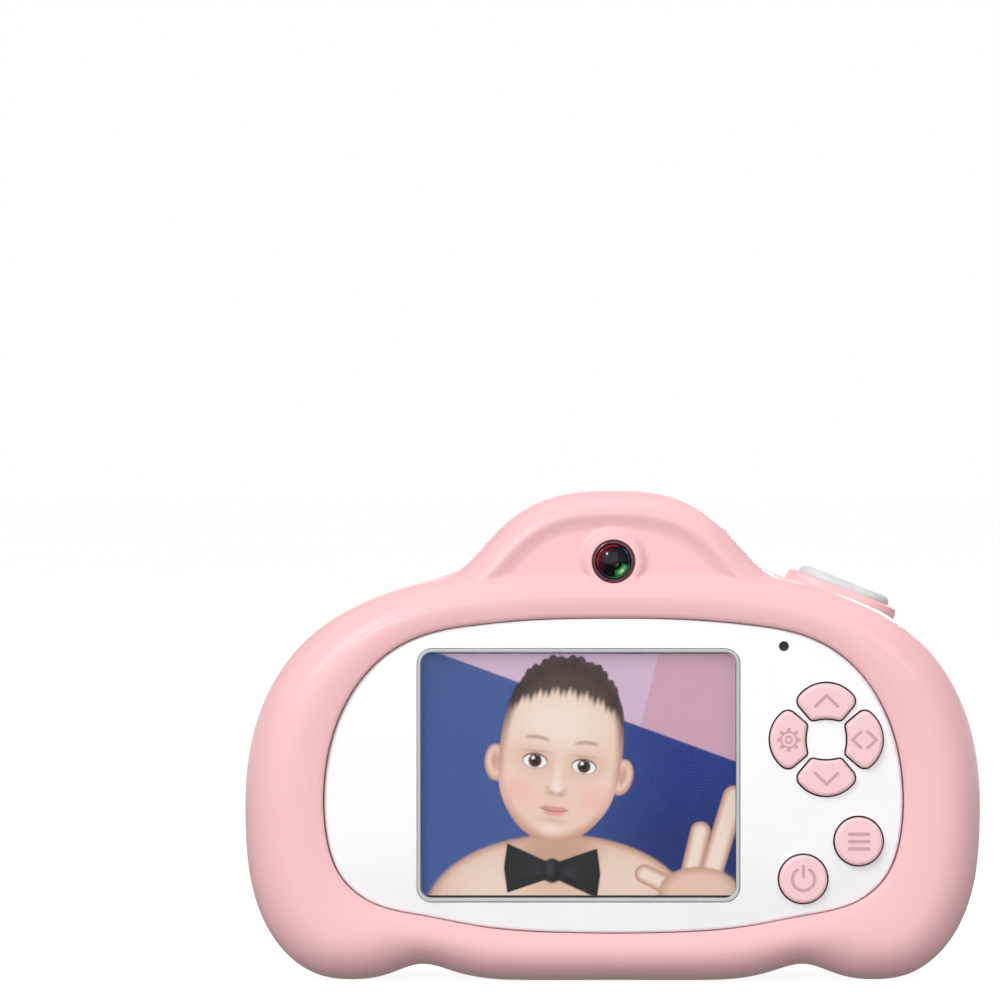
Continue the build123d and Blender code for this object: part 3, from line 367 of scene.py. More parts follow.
def cut(obj, prisms):
    """Takes closed prisms, which don't overlap each other, out of a closed skin."""
    vertices, faces = [], []
    for v, f in prisms:
        base = len(vertices)
        vertices += v
        faces += [tuple(base + i for i in face) for face in f]
    tool = add_mesh(obj.name + "_tool", vertices, faces, obj.data.materials[0], None)
    modifier = obj.modifiers.new("cut", "BOOLEAN")
    modifier.operation, modifier.solver, modifier.object = "DIFFERENCE", "MANIFOLD", tool
    bpy.context.view_layer.update()
    whole = bpy.data.meshes.new_from_object(obj.evaluated_get(bpy.context.evaluated_depsgraph_get()))
    obj.modifiers.remove(modifier)
    old = obj.data
    obj.data = whole
    bpy.data.meshes.remove(old)
    bpy.data.objects.remove(tool)
    whole.shade_smooth()
    whole.set_sharp_from_angle(angle=radians(CREASE))


# ------------------------------------------------------------------ materials
def material(name, color, roughness, *, other=None, scale=400.0, grain=0.0, rough_spread=0.05,
             metallic=0.0, coat=0.0, coat_roughness=0.05, subsurface=0.0, emission=0.0,
             transmission=0.0, ior=1.5, specular=0.5, sheen=0.0, deep=None):  # fmt: skip
    """A moulded, metal or glassy finish: noise drives its colour, roughness and fine surface grain.

    deep is (low, high, colour): the finish turns to that colour where y falls from high to low, as painted
    shade on the walls of gaps.
    """
    m = bpy.data.materials.new(name)
    m.use_nodes = True
    nodes, links = m.node_tree.nodes, m.node_tree.links
    shader = nodes["Principled BSDF"]
    place = nodes.new("ShaderNodeTexCoord")
    noise = nodes.new("ShaderNodeTexNoise")
    noise.inputs["Scale"].default_value = scale
    noise.inputs["Detail"].default_value = 4.0
    links.new(place.outputs["Object"], noise.inputs["Vector"])
    mix = nodes.new("ShaderNodeMix")
    mix.data_type = "RGBA"
    second = other or tuple(min(1.0, c * 1.05 + 0.004) for c in color)
    mix.inputs[6].default_value = (*color, 1)
    mix.inputs[7].default_value = (*second, 1)
    links.new(noise.outputs["Fac"], mix.inputs[0])
    finish = mix.outputs[2]
    # painted shade: the finish darkens down the walls of gaps
    if deep:
        finish = painted_gap_shade(nodes, links, place, finish, *deep)
    links.new(finish, shader.inputs["Base Color"])
    spread = nodes.new("ShaderNodeMapRange")
    spread.inputs["To Min"].default_value = max(0.0, roughness - rough_spread)
    spread.inputs["To Max"].default_value = min(1.0, roughness + rough_spread)
    links.new(noise.outputs["Fac"], spread.inputs["Value"])
    links.new(spread.outputs["Result"], shader.inputs["Roughness"])
    if grain:
        fine = nodes.new("ShaderNodeTexNoise")
        fine.inputs["Scale"].default_value = max(4000, scale * 8)
        links.new(place.outputs["Object"], fine.inputs["Vector"])
        bump = nodes.new("ShaderNodeBump")
        bump.inputs["Strength"].default_value = grain
        bump.inputs["Distance"].default_value = 0.00005
        links.new(fine.outputs["Fac"], bump.inputs["Height"])
        links.new(bump.outputs["Normal"], shader.inputs["Normal"])
    shader.inputs["Metallic"].default_value = metallic
    shader.inputs["Coat Weight"].default_value = coat
    shader.inputs["Coat Roughness"].default_value = coat_roughness
    shader.inputs["IOR"].default_value = ior
    shader.inputs["Specular IOR Level"].default_value = specular
    shader.inputs["Transmission Weight"].default_value = transmission
    shader.inputs["Sheen Weight"].default_value = sheen
    if subsurface:
        shader.inputs["Subsurface Weight"].default_value = subsurface
        shader.inputs["Subsurface Radius"].default_value = (0.0012, 0.0005, 0.0004)
    if emission:
        links.new(mix.outputs[2], shader.inputs["Emission Color"])
        shader.inputs["Emission Strength"].default_value = emission
    return m


def painted_gap_shade(nodes, links, place, colour, low, high, dark):
    """The colour, turning dark where y is under low millimetres: painted shade on the walls of a gap."""
    split = nodes.new("ShaderNodeSeparateXYZ")
    links.new(place.outputs["Object"], split.inputs[0])
    fade = nodes.new("ShaderNodeMapRange")
    fade.inputs["From Min"].default_value = low * MM
    fade.inputs["From Max"].default_value = high * MM
    links.new(split.outputs["Y"], fade.inputs["Value"])
    mix = nodes.new("ShaderNodeMix")
    mix.data_type = "RGBA"
    mix.inputs[6].default_value = (*dark, 1)
    links.new(colour, mix.inputs[7])
    links.new(fade.outputs["Result"], mix.inputs[0])
    return mix.outputs[2]


def painted(name, lit, own, roughness, coat=0.0):
    """A surface coloured by the mesh's own paint layer with a fine grain; lit makes it glow: a display's own
    light on the screen, painted light on the lens elements.
    """
    m = bpy.data.materials.new(name)
    m.use_nodes = True
    nodes, links = m.node_tree.nodes, m.node_tree.links
    shader = nodes["Principled BSDF"]
    paint = nodes.new("ShaderNodeAttribute")
    paint.attribute_name = "paint"
    place = nodes.new("ShaderNodeTexCoord")
    noise = nodes.new("ShaderNodeTexNoise")
    noise.inputs["Scale"].default_value = 2500
    links.new(place.outputs["Object"], noise.inputs["Vector"])
    level = nodes.new("ShaderNodeMapRange")
    level.inputs["To Min"].default_value = own * 0.96
    level.inputs["To Max"].default_value = own
    links.new(noise.outputs["Fac"], level.inputs["Value"])
    shade = nodes.new("ShaderNodeVectorMath")
    shade.operation = "SCALE"
    links.new(paint.outputs["Color"], shade.inputs[0])
    links.new(level.outputs["Result"], shade.inputs["Scale"])
    links.new(shade.outputs["Vector"], shader.inputs["Base Color"])
    shader.inputs["Roughness"].default_value = roughness
    shader.inputs["Specular IOR Level"].default_value = 0.1
    shader.inputs["Coat Weight"].default_value = coat
    shader.inputs["Coat Roughness"].default_value = 0.03
    links.new(paint.outputs["Color"], shader.inputs["Emission Color"])
    shader.inputs["Emission Strength"].default_value = lit
    return m


def film(name, tint, gloss):
    """Clear sheet: see-through straight on and mirror-like at a glancing angle, with a faint uneven haze."""
    m = bpy.data.materials.new(name)
    m.use_nodes = True
    nodes, links = m.node_tree.nodes, m.node_tree.links
    nodes.remove(nodes["Principled BSDF"])
    clear = nodes.new("ShaderNodeBsdfTransparent")
    shine = nodes.new("ShaderNodeBsdfGlossy")
    shine.inputs["Roughness"].default_value = 0.03
    place = nodes.new("ShaderNodeTexCoord")
    noise = nodes.new("ShaderNodeTexNoise")
    noise.inputs["Scale"].default_value = 300
    links.new(place.outputs["Object"], noise.inputs["Vector"])
    ramp = nodes.new("ShaderNodeMix")
    ramp.data_type = "RGBA"
    ramp.inputs[6].default_value = (*tint, 1)
    ramp.inputs[7].default_value = (*(min(1, c * 1.03) for c in tint), 1)
    links.new(noise.outputs["Fac"], ramp.inputs[0])
    links.new(ramp.outputs[2], clear.inputs["Color"])
    edge = nodes.new("ShaderNodeFresnel")
    edge.inputs["IOR"].default_value = 1.45
    strength = nodes.new("ShaderNodeMath")
    strength.operation = "MULTIPLY"
    strength.inputs[1].default_value = gloss
    links.new(edge.outputs["Fac"], strength.inputs[0])
    both = nodes.new("ShaderNodeMixShader")
    links.new(strength.outputs["Value"], both.inputs["Fac"])
    links.new(clear.outputs["BSDF"], both.inputs[1])
    links.new(shine.outputs["BSDF"], both.inputs[2])
    links.new(both.outputs["Shader"], nodes["Material Output"].inputs["Surface"])
    return m


PINK = material(
    "pink_gloss", (0.89, 0.515, 0.53), 0.40, other=(0.90, 0.53, 0.545), scale=60, grain=0.02, coat=0.2,
    coat_roughness=0.18, specular=0.3,
)  # fmt: skip
# painted shade: the dark colours of the walls of the gaps round the keys and the panel
GAP_SHADE_RED, GAP_SHADE_GREY = (0.10, 0.035, 0.04), (0.12, 0.10, 0.10)
# the keys' side walls turn to painted shade below y = 18.3
KEY_PINK = material(
    "key_pink", (0.90, 0.58, 0.61), 0.45, scale=900, grain=0.03, specular=0.35, deep=(18.0, 18.3, GAP_SHADE_RED)
)
ICON = material("icon_print", (0.62, 0.35, 0.36), 0.6, scale=900)
# the panel's edges and hole walls turn to painted shade below y = 17.45
WHITE = material(
    "panel_white", (0.86, 0.86, 0.865), 0.16, scale=60, grain=0.02, coat=0.5, coat_roughness=0.05,
    deep=(17.25, 17.45, GAP_SHADE_GREY),
)  # fmt: skip
BUTTON_WHITE = material(
    "button_white", (0.62, 0.64, 0.63), 0.35, scale=900, grain=0.04, coat=0.1, specular=0.3
)
RING_GREY = material("ring_grey", (0.63, 0.66, 0.64), 0.35, scale=300, grain=0.05, coat=0.2)
# painted shade: the colour of the dark rings that stand in for the gaps beside the lens's trim ring
GAP_SHADE_BROWN = material("gap_shade_brown", (0.16, 0.09, 0.09), 0.6, scale=900, grain=0.1)
# partly the bezel's own dark colour and partly painted shade: its red-brown tint stands for the shadow round
# the selfie lens
WINE_AND_SHADE = material("dark_wine_and_shade", (0.13, 0.035, 0.045), 0.3, scale=700, coat=0.3)
BLACK_GLOSS = material(
    "black_gloss", (0.004, 0.004, 0.005), 0.2, other=(0.008, 0.008, 0.009), specular=0.3, coat=0.2
)
BLACK_MATTE = material("black_matte", (0.012, 0.012, 0.013), 0.6, other=(0.02, 0.02, 0.02), grain=0.2)
BORDER_GREY = material("border_grey", (0.50, 0.52, 0.52), 0.35, scale=500, grain=0.05, coat=0.3)
PICTURE = painted("display_picture", lit=0.42, own=0.55, roughness=0.5)
# painted reflections on the lens elements, glowing faintly: painted light
LENS_REFLECTIONS = painted("lens_painted_reflections", lit=0.25, own=0.8, roughness=0.12, coat=0.12)
SCREEN_BACK = material("screen_back", (0.008, 0.01, 0.02), 0.2, scale=300)
BOARD_GREEN = material(
    "board_green", (0.01, 0.12, 0.045), 0.35, other=(0.012, 0.16, 0.06), scale=900, grain=0.2, coat=0.5
)
CHIP = material("chip_black", (0.012, 0.012, 0.014), 0.55, scale=2000, grain=0.3)
SENSOR = material("sensor", (0.05, 0.03, 0.12), 0.15, other=(0.03, 0.08, 0.10), scale=300, coat=0.9)
STEEL = material("steel", (0.52, 0.52, 0.54), 0.3, metallic=1.0, scale=900, grain=0.1)
CHROME = material("chrome", (0.78, 0.78, 0.80), 0.1, metallic=1.0, scale=500)
AMBER = material("flex_amber", (0.45, 0.20, 0.04), 0.35, scale=700, coat=0.3)
FOIL = material(
    "battery_foil", (0.60, 0.61, 0.63), 0.35, metallic=0.7, scale=150, grain=0.4, rough_spread=0.12
)
FOAM = material("foam", (0.02, 0.02, 0.02), 0.95, scale=4000, grain=0.8, sheen=0.3)
WIRE = material("wire_red", (0.5, 0.02, 0.015), 0.45, scale=800)
LED = material("led_yellow", (0.85, 0.72, 0.22), 0.3, scale=800, coat=0.5)
WHITE_PLASTIC = material("white_plastic", (0.74, 0.73, 0.70), 0.5, scale=500, grain=0.1)
SILICONE = material("silicone_pink", (0.80, 0.45, 0.46), 0.55, scale=400, grain=0.15, subsurface=0.15)
SILICONE_BLACK = material("silicone_black", (0.015, 0.015, 0.015), 0.6, scale=700, grain=0.1)
LENS_FILM = film("lens_film", (0.97, 0.97, 0.98), 0.1)
WINDOW_FILM = film("window_film", (0.985, 0.985, 0.99), 0.2)
FLASH_CLEAR = material(
    "flash_clear", (0.90, 0.92, 0.92), 0.12, scale=250, grain=0.15, transmission=0.35, ior=1.45, coat=0.6,
)  # fmt: skip

BY_SLOT = {
    "shell_pink": PINK, "panel_white": WHITE, "key_pink": KEY_PINK, "button_white": BUTTON_WHITE,
    "ring_grey": RING_GREY, "bezel_black": BLACK_GLOSS, "black_plastic": BLACK_MATTE,
    "white_plastic": WHITE_PLASTIC, "lens_glass": LENS_FILM, "clear_window": FLASH_CLEAR,
    "display_glass": WINDOW_FILM, "display_face": SCREEN_BACK, "circuit_green": BOARD_GREEN,
    "chip_black": CHIP, "silicon": SENSOR, "steel": STEEL, "chrome": CHROME, "silver_reflector": CHROME,
    "led_yellow": LED, "flex_amber": AMBER, "battery_silver": FOIL, "foam": FOAM, "mesh_cloth": FOAM,
    "wire": WIRE, "silicone_pink": SILICONE, "silicone_black": SILICONE_BLACK,
}  # fmt: skip
# the selfie bezel's red-brown is partly painted shade
BY_NODE = {"selfie_bezel": WINE_AND_SHADE, "microphone": FOAM}  # these two differ from the rest of their slot
for part in frame["record"]["subparts"]:
    node = frame["nodes"][part["node"]]
    node.data.materials.clear()
    node.data.materials.append(BY_NODE.get(part["node"], BY_SLOT[part["material_slot"]]))


# ------------------------------------------------------------------ front skin
AROUND = 720
ANGLES = np.arange(AROUND) * 2 * pi / AROUND + 0.0001
WRAPPED = np.arctan2(np.sin(ANGLES), np.cos(ANGLES))


def silhouette(centre_z):
    """The casing's outline with its hump, as a radius for each of ANGLES."""
    body = radius_about(BODY_LINE, centre_z, WRAPPED)
    hump = radius_about(HUMP_LINE, centre_z, WRAPPED)
    return smooth_max(body, hump, 0.9)


def placed(radius, y, centre_z):
    """A ring of points at the given radius and depth about the centre; both may vary round it."""
    radius = np.broadcast_to(radius, ANGLES.shape)
    return np.stack(
        (radius * np.cos(ANGLES), np.broadcast_to(y, ANGLES.shape), centre_z + radius * np.sin(ANGLES)), 1
    )


def grounded(ring):
    """The ring with nothing of it under the surface that the toy stands on."""
    ring[:, 2] = np.maximum(ring[:, 2], 0.0)
    return ring


def front_y(x, z):
    """The front skin's y at one point."""
    return -float(front_height(np.array([x]), np.array([z]))[0])


def front_holes():
    """Sound and microphone holes, flash window, shutter seat and the port cover's recess."""
    holes = []
    for angle in SOUND_ANGLES:
        x, z = SOUND_ARC_R * cos(radians(angle)), LENS_Z + SOUND_ARC_R * sin(radians(angle))
        depth = 5.0 if angle in OPEN_SOUND_HOLES else 0.75
        holes.append(prism(circle(x, z, SOUND_HOLE_R), front_y(x, z) - 2, front_y(x, z) + depth, upright))
    surface = front_y(*MICROPHONE)
    holes.append(prism(circle(*MICROPHONE, SOUND_HOLE_R), surface - 2, surface + 5, upright))
    holes.append(prism(bone_outline(0.12), -4, 0.6, upright))
    holes.append(prism(slot_outline(0, 0, *SHUTTER_SEAT), -6, 4, on_shutter))
    holes.append(prism(slot_outline(0, PORT_Y, *COVER_RECESS), -1, 1.55, under_belly))
    return holes


def build_front_skin():
    """The front shell's outer skin, rolled over the seam and back along the inside to the lens well."""
    edge = silhouette(LENS_Z)
    rings = [placed(BARREL_R, y, LENS_Z) for y in (BARREL_Y, LENS_FLOOR_Y)]
    rings += [placed(LENS_WELL_R, y, LENS_Z) for y in (LENS_FLOOR_Y, -17.85)]
    inner_zone = np.concatenate(([12.32], np.arange(12.7, 22.01, 0.35)))
    outer_zone = 1 - (1 - np.linspace(0, 1, 100)[1:]) ** 1.45
    radii = [np.full(AROUND, r) for r in inner_zone] + [22 + (edge - 22) * t for t in outer_zone]
    radii = np.array(radii)
    height = front_height(radii * np.cos(ANGLES), LENS_Z + radii * np.sin(ANGLES))
    rings += [placed(r, -h, LENS_Z) for r, h in zip(radii, height)]
    rim = -height[-1]
    for y in (3, 5, 7, 9, 10.6, 11.3):
        rings.append(placed(edge, np.maximum(rim, y), LENS_Z))
    rings += [placed(edge - inset, FRONT_SEAM_Y, LENS_Z) for inset in (SEAM_BEVEL, WALL)]
    hollow = edge - WALL
    in_radii = np.array([hollow + (BARREL_R - hollow) * t for t in np.linspace(0, 1, 26)[:-1]])
    in_height = front_height(in_radii * np.cos(ANGLES), LENS_Z + in_radii * np.sin(ANGLES)) - WALL
    rings += [placed(r, np.maximum(-h, INNER_FACE_Y), LENS_Z) for r, h in zip(in_radii, in_height)]
    skin = closed_rings("front_shell_skin", [grounded(r) for r in rings], PINK)
    cut(skin, front_holes())
    usb = prism(slot_outline(USB_X, PORT_Y, *USB_SLOT), 1.2, 2.6, under_belly)
    card = prism(slot_outline(CARD_X, PORT_Y, *CARD_SLOT), 1.2, 2.6, under_belly)
    cut(skin, [usb, card])
    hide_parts("front_shell")


def build_shutter_collar():
    """The raised pink rim round the shutter button."""
    levels = [  # length, width, height over the shutter's origin
        (15.4, 11.3, -1.2), (15.3, 11.2, 0.1), (15.0, 10.9, 0.6), (14.4, 10.3, 0.8), (13.4, 9.3, 0.8),
        (12.95, 8.95, 0.55), (12.95, 8.95, -1.2),
    ]  # fmt: skip
    rings = []
    for length, width, h in levels:
        rings.append(np.array([on_shutter(u, v, h) for u, v in slot_outline(0, 0, length, width, 24)]))
    closed_rings("shutter_collar", rings, PINK)


# ------------------------------------------------------------------ rear skin
def build_rear_skin():
    """The rear shell's skin: the panel's seat, the round frame, the seam and the inner wall."""
    centre = PANEL_MIDDLE_Z
    edge = silhouette(centre)
    panel = radius_about(PANEL_LINE, centre, WRAPPED) + 0.12
    rings = [placed(0.4, REAR_WALL_Y, centre), placed(0.4, PANEL_SEAT_Y, centre)]
    rings += [placed(panel * t, PANEL_SEAT_Y, centre) for t in (0.25, 0.5, 0.75, 1.0)]
    rings.append(placed(panel, 17.0, centre))
    spread = np.linspace(0, 1, 110)
    radii = np.array([panel + (edge - panel) * (1 - (1 - t) ** 1.35) for t in spread])
    height = back_height(radii * np.cos(ANGLES), centre + radii * np.sin(ANGLES))
    rings += [placed(r, h, centre) for r, h in zip(radii, height)]
    rings.append(placed(edge, 11.9, centre))
    rings += [placed(edge - inset, REAR_SEAM_Y, centre) for inset in (SEAM_BEVEL, WALL)]
    rings += [placed((edge - WALL - 0.3) * t, REAR_WALL_Y, centre) for t in (1, 0.8, 0.6, 0.4, 0.2)]
    skin = closed_rings("rear_shell_skin", [grounded(r) for r in rings], PINK)
    pockets = [
        prism(rectangle(DISPLAY_X, DISPLAY_Z, DISPLAY_W, DISPLAY_H), 13, 17, upright),
        prism(rectangle(0, SELFIE_Z, 7.4, 7.4), 11, 15.2, upright),
        prism(circle(*INDICATOR, 0.75), 13, 17.2, upright),
    ]
    rounds = (((DPAD_X, DPAD_Z), PAD_POCKET_R), (MENU_KEY, ROUND_POCKET_R), (POWER_KEY, ROUND_POCKET_R))
    for (x, z), radius in rounds:
        pockets.append(prism(circle(x, z, radius), KEY_POCKET_Y, 17.2, upright))
    cut(skin, pockets)
    petals = [(DPAD_X + dx, DPAD_Z + dz) for dx, dz in PETAL_PLACES]
    bores = [prism(circle(x, z, KEY_BORE_R), 13, 15.2, upright) for x, z in (*petals, MENU_KEY, POWER_KEY)]
    cut(skin, [prism(circle(0, SELFIE_Z, 2.85), 15.0, 21, upright), *bores])
    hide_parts("rear_shell")


# ------------------------------------------------------------------ printed icons on the keys
def stroke(points, width, count=7):
    """The outline of a round-ended line through the points."""
    half = width / 2
    p = [Vector(q) for q in points]
    way = [(b - a).normalized() for a, b in zip(p, p[1:])]
    sides = []
    for i, q in enumerate(p):
        before, after = way[max(i - 1, 0)], way[min(i, len(way) - 1)]
        along = (before + after).normalized()
        normal = Vector((-along.y, along.x))
        sides.append((q, normal * (half / max(0.5, normal.dot(Vector((-after.y, after.x)))))))
    left = [q + n for q, n in sides]
    right = [q - n for q, n in sides][::-1]
    cap = []
    for centre, first in ((p[-1], sides[-1][1]), (p[0], -sides[0][1])):
        turns = [radians(-180 * (k + 1) / (count + 1)) for k in range(count)]
        across = Vector((-first.y, first.x))
        cap.append([centre + first * cos(a) + across * sin(a) for a in turns])
    return [(v.x, v.y) for v in left + cap[0] + right + cap[1]]


def arc_points(radius, start, end, count=40):
    return [(radius * cos(radians(a)), radius * sin(radians(a))) for a in np.linspace(start, end, count)]


def icon(name, body, x, z, strokes, rings=()):
    """Raised print on a key about (x, z), from strokes and from rings of (outer, inner) outlines."""
    low, high = KEY_TOP_Y - 0.05, KEY_TOP_Y + 0.03
    vertices, faces = [], []
    for outline in strokes:
        v, f = prism([(x + a, z + b) for a, b in outline], low, high, upright)
        faces += [tuple(len(vertices) + i for i in face) for face in f]
        vertices += v
    for outer, inner in rings:
        count, base = len(outer), len(vertices)
        for line, y in ((outer, low), (outer, high), (inner, high), (inner, low)):
            vertices += [(x + a, y, z + b) for a, b in line]
        faces += ring_faces(4, count, base)
        last = base + 3 * count
        for i in range(count):
            k = (i + 1) % count
            faces.append((last + i, last + k, base + k, base + i))
    add_mesh(name, vertices, faces, ICON, body, 20)


def gear_outline(teeth=8, root=1.12, tip=1.55, count=96):
    points = []
    for i in range(count):
        a = 2 * pi * i / count
        wave = smooth_step(np.array(cos(teeth * a)), -0.25, 0.25)
        radius = root + (tip - root) * float(wave)
        points.append((radius * cos(a), radius * sin(a)))
    return points


def build_icons():
    """Arrows up and down, a gear, a left-right pair, three bars and the power sign."""
    chevron = [(-1.45, -0.65), (0, 0.75), (1.45, -0.65)]
    line = 0.42
    icon("up_icon", "up_key", DPAD_X, DPAD_Z + PETAL_REACH + 0.1, [stroke(chevron, line)])
    turned = [(a, -b) for a, b in chevron]
    icon("down_icon", "down_key", DPAD_X, DPAD_Z - PETAL_REACH - 0.1, [stroke(turned, line)])
    half = [(b * 0.8 + 0.95, a * 0.72) for a, b in chevron]
    icon(
        "flip_icon", "flip_key", DPAD_X - PETAL_REACH, DPAD_Z,
        [stroke(half, line), stroke([(-a, b) for a, b in half], line)],
    )  # fmt: skip
    wheel = (gear_outline(), arc_points(0.86, 0, 360 - 3.75, 96))
    hub = (arc_points(0.55, 0, 345, 24), arc_points(0.28, 0, 345, 24))
    icon("settings_icon", "settings_key", DPAD_X + PETAL_REACH, DPAD_Z, [], [wheel, hub])
    bars = [stroke([(-1.25, b), (1.25, b)], 0.46) for b in (-0.95, 0, 0.95)]
    icon("menu_icon", "menu_key", *MENU_KEY, bars)
    power = [stroke(arc_points(1.45, 122, 418), line), stroke([(0, 0.35), (0, 1.75)], line)]
    icon("power_icon", "power_key", *POWER_KEY, power)


# ------------------------------------------------------------------ picture on the display
def linear(code):
    """A display colour written as six hex digits, as linear light."""
    c = np.array([int(code[i : i + 2], 16) for i in (0, 2, 4)]) / 255
    return np.where(c <= 0.04045, c / 12.92, ((c + 0.055) / 1.055) ** 2.4)


class Canvas:
    """Soft-edged shapes laid over each other on a grid; x runs to the right and z up."""

    def __init__(self, x, z, colour):
        self.x, self.z = x, z
        self.rgb = np.broadcast_to(linear(colour), (*x.shape, 3)).copy()

    def lay(self, mask, colour, strength=1.0):
        m = (np.clip(mask, 0, 1) * strength)[..., None]
        self.rgb = self.rgb * (1 - m) + linear(colour) * m

    def oval(self, cx, cz, rx, rz, soft=0.1, turn=0.0):
        c, s = cos(radians(turn)), sin(radians(turn))
        dx, dz = self.x - cx, self.z - cz
        r = np.hypot((dx * c + dz * s) / rx, (-dx * s + dz * c) / rz)
        return smooth_step(r, 1 + soft, 1 - soft)

    def bar(self, a, b, radius, soft=0.15):
        """A round-ended bar from a to b."""
        run = np.array(b, float) - a
        t = np.clip(((self.x - a[0]) * run[0] + (self.z - a[1]) * run[1]) / (run @ run), 0, 1)
        gap = np.hypot(self.x - a[0] - t * run[0], self.z - a[1] - t * run[1])
        return smooth_step(gap, radius + soft, radius - soft)

    def side(self, a, b, soft=0.1):
        """Everything to the right of the line from a to b."""
        run = np.array(b, float) - a
        off = ((self.x - a[0]) * run[1] - (self.z - a[1]) * run[0]) / np.hypot(*run)
        return smooth_step(off, -soft, soft)


def paint_room(c):
    """A pink wall above a slanting edge and a blue cloth under it."""
    c.lay(c.side((5.9, -2.6), (10.5, 15.9)), "cfa5b8")
    cloth = c.side((-18.4, 15.9), (20.45, 1.7), 0.12)
    c.lay(cloth, "3c5896")
    deep = smooth_step(c.x, -6, 14) * cloth
    c.lay(deep, "0a2a80", 0.9)
    c.lay(deep * smooth_step(c.z, 2, -10), "08205f", 0.6)


def paint_body(c):
    """Bare shoulders, a raised hand and a black bow tie."""
    skin, shade, light = "e9c7b2", "c09079", "f5dfcf"
    c.lay(c.oval(-2.6, -18.0, 17.2, 10.2, 0.02), shade)
    chest = c.oval(-2.6, -18.4, 16.9, 10.1, 0.07)
    c.lay(chest, skin)
    c.lay(c.oval(-11.5, -14.8, 4.2, 4.0, 0.8) * chest, light, 0.7)
    c.lay(c.oval(6.0, -14.8, 4.2, 4.0, 0.8) * chest, light, 0.6)
    c.lay(c.oval(-2.8, -9.8, 4.9, 4.0, 0.5) * chest, shade, 0.7)
    fingers = (
        ((12.0, -14.6), (8.6, -12.9), 1.25),
        ((14.4, -13.6), (15.9, -7.4), 1.3),
        ((17.2, -13), (20.3, -2.9), 1.5),
    )
    for a, b, r in fingers:
        c.lay(c.bar(a, b, r, 0.06), shade)
        c.lay(c.bar(a, b, r - 0.45, 0.5), light)
    c.lay(c.oval(15.6, -15.4, 5.2, 3.4, 0.03), shade)
    c.lay(c.oval(15.8, -15.8, 4.9, 3.3, 0.25), skin)
    across, up = c.x + 3.4, c.z + 12.5 + 0.06 * (c.x + 3.4)
    flare = 0.9 + 0.40 * np.abs(across)
    wing = smooth_step(np.abs(up) - flare, 0.1, -0.1)
    wing = wing * smooth_step(np.abs(across) + 0.14 * np.abs(up), 6.4, 6.2)
    c.lay(wing, "17181c")
    fold = smooth_step(np.abs(np.abs(up) - 0.16 * np.abs(across)), 0.16, 0.02) * wing
    c.lay(fold * smooth_step(np.abs(across), 5.6, 1.6), "4a4c54", 0.8)
    c.lay(c.oval(-3.4, -12.5, 1.35, 1.6, 0.12), "0c0d10")
    c.lay(c.oval(-3.7, -12.2, 0.5, 0.9, 0.6), "3b3d45", 0.8)


def paint_eye(c, x, outer):
    """An open eye looking straight ahead; outer is the side that its outer corner is on."""
    lid = smooth_step(np.hypot((c.x - x) / 1.5, (c.z + 1.25) / 0.86), 1.07, 0.93)
    c.lay(c.oval(x, -1.1, 2.5, 1.9, 0.6), "cf9e88", 0.35)
    c.lay(c.oval(x, -1.15, 1.62, 1.0, 0.10), "6b463a")
    c.lay(lid, "fcf8f5")
    c.lay(c.oval(x, -1.15, 0.86, 0.88, 0.12) * lid, "4a2e22")
    c.lay(c.oval(x, -1.15, 0.46, 0.46, 0.2) * lid, "120b09")
    c.lay(c.oval(x - 0.3, -0.82, 0.22, 0.22, 0.4), "ffffff")
    c.lay(c.oval(x, 0.1, 1.5, 0.16, 0.9), "b98571", 0.5)
    rise = 1.95 - 0.11 * (c.x - x - 0.25 * outer) ** 2
    brow = smooth_step(np.abs(c.z - rise), 0.42, 0.05) * smooth_step(np.abs(c.x - x), 1.9, 1.0)
    c.lay(brow, "8a6350", 0.55)


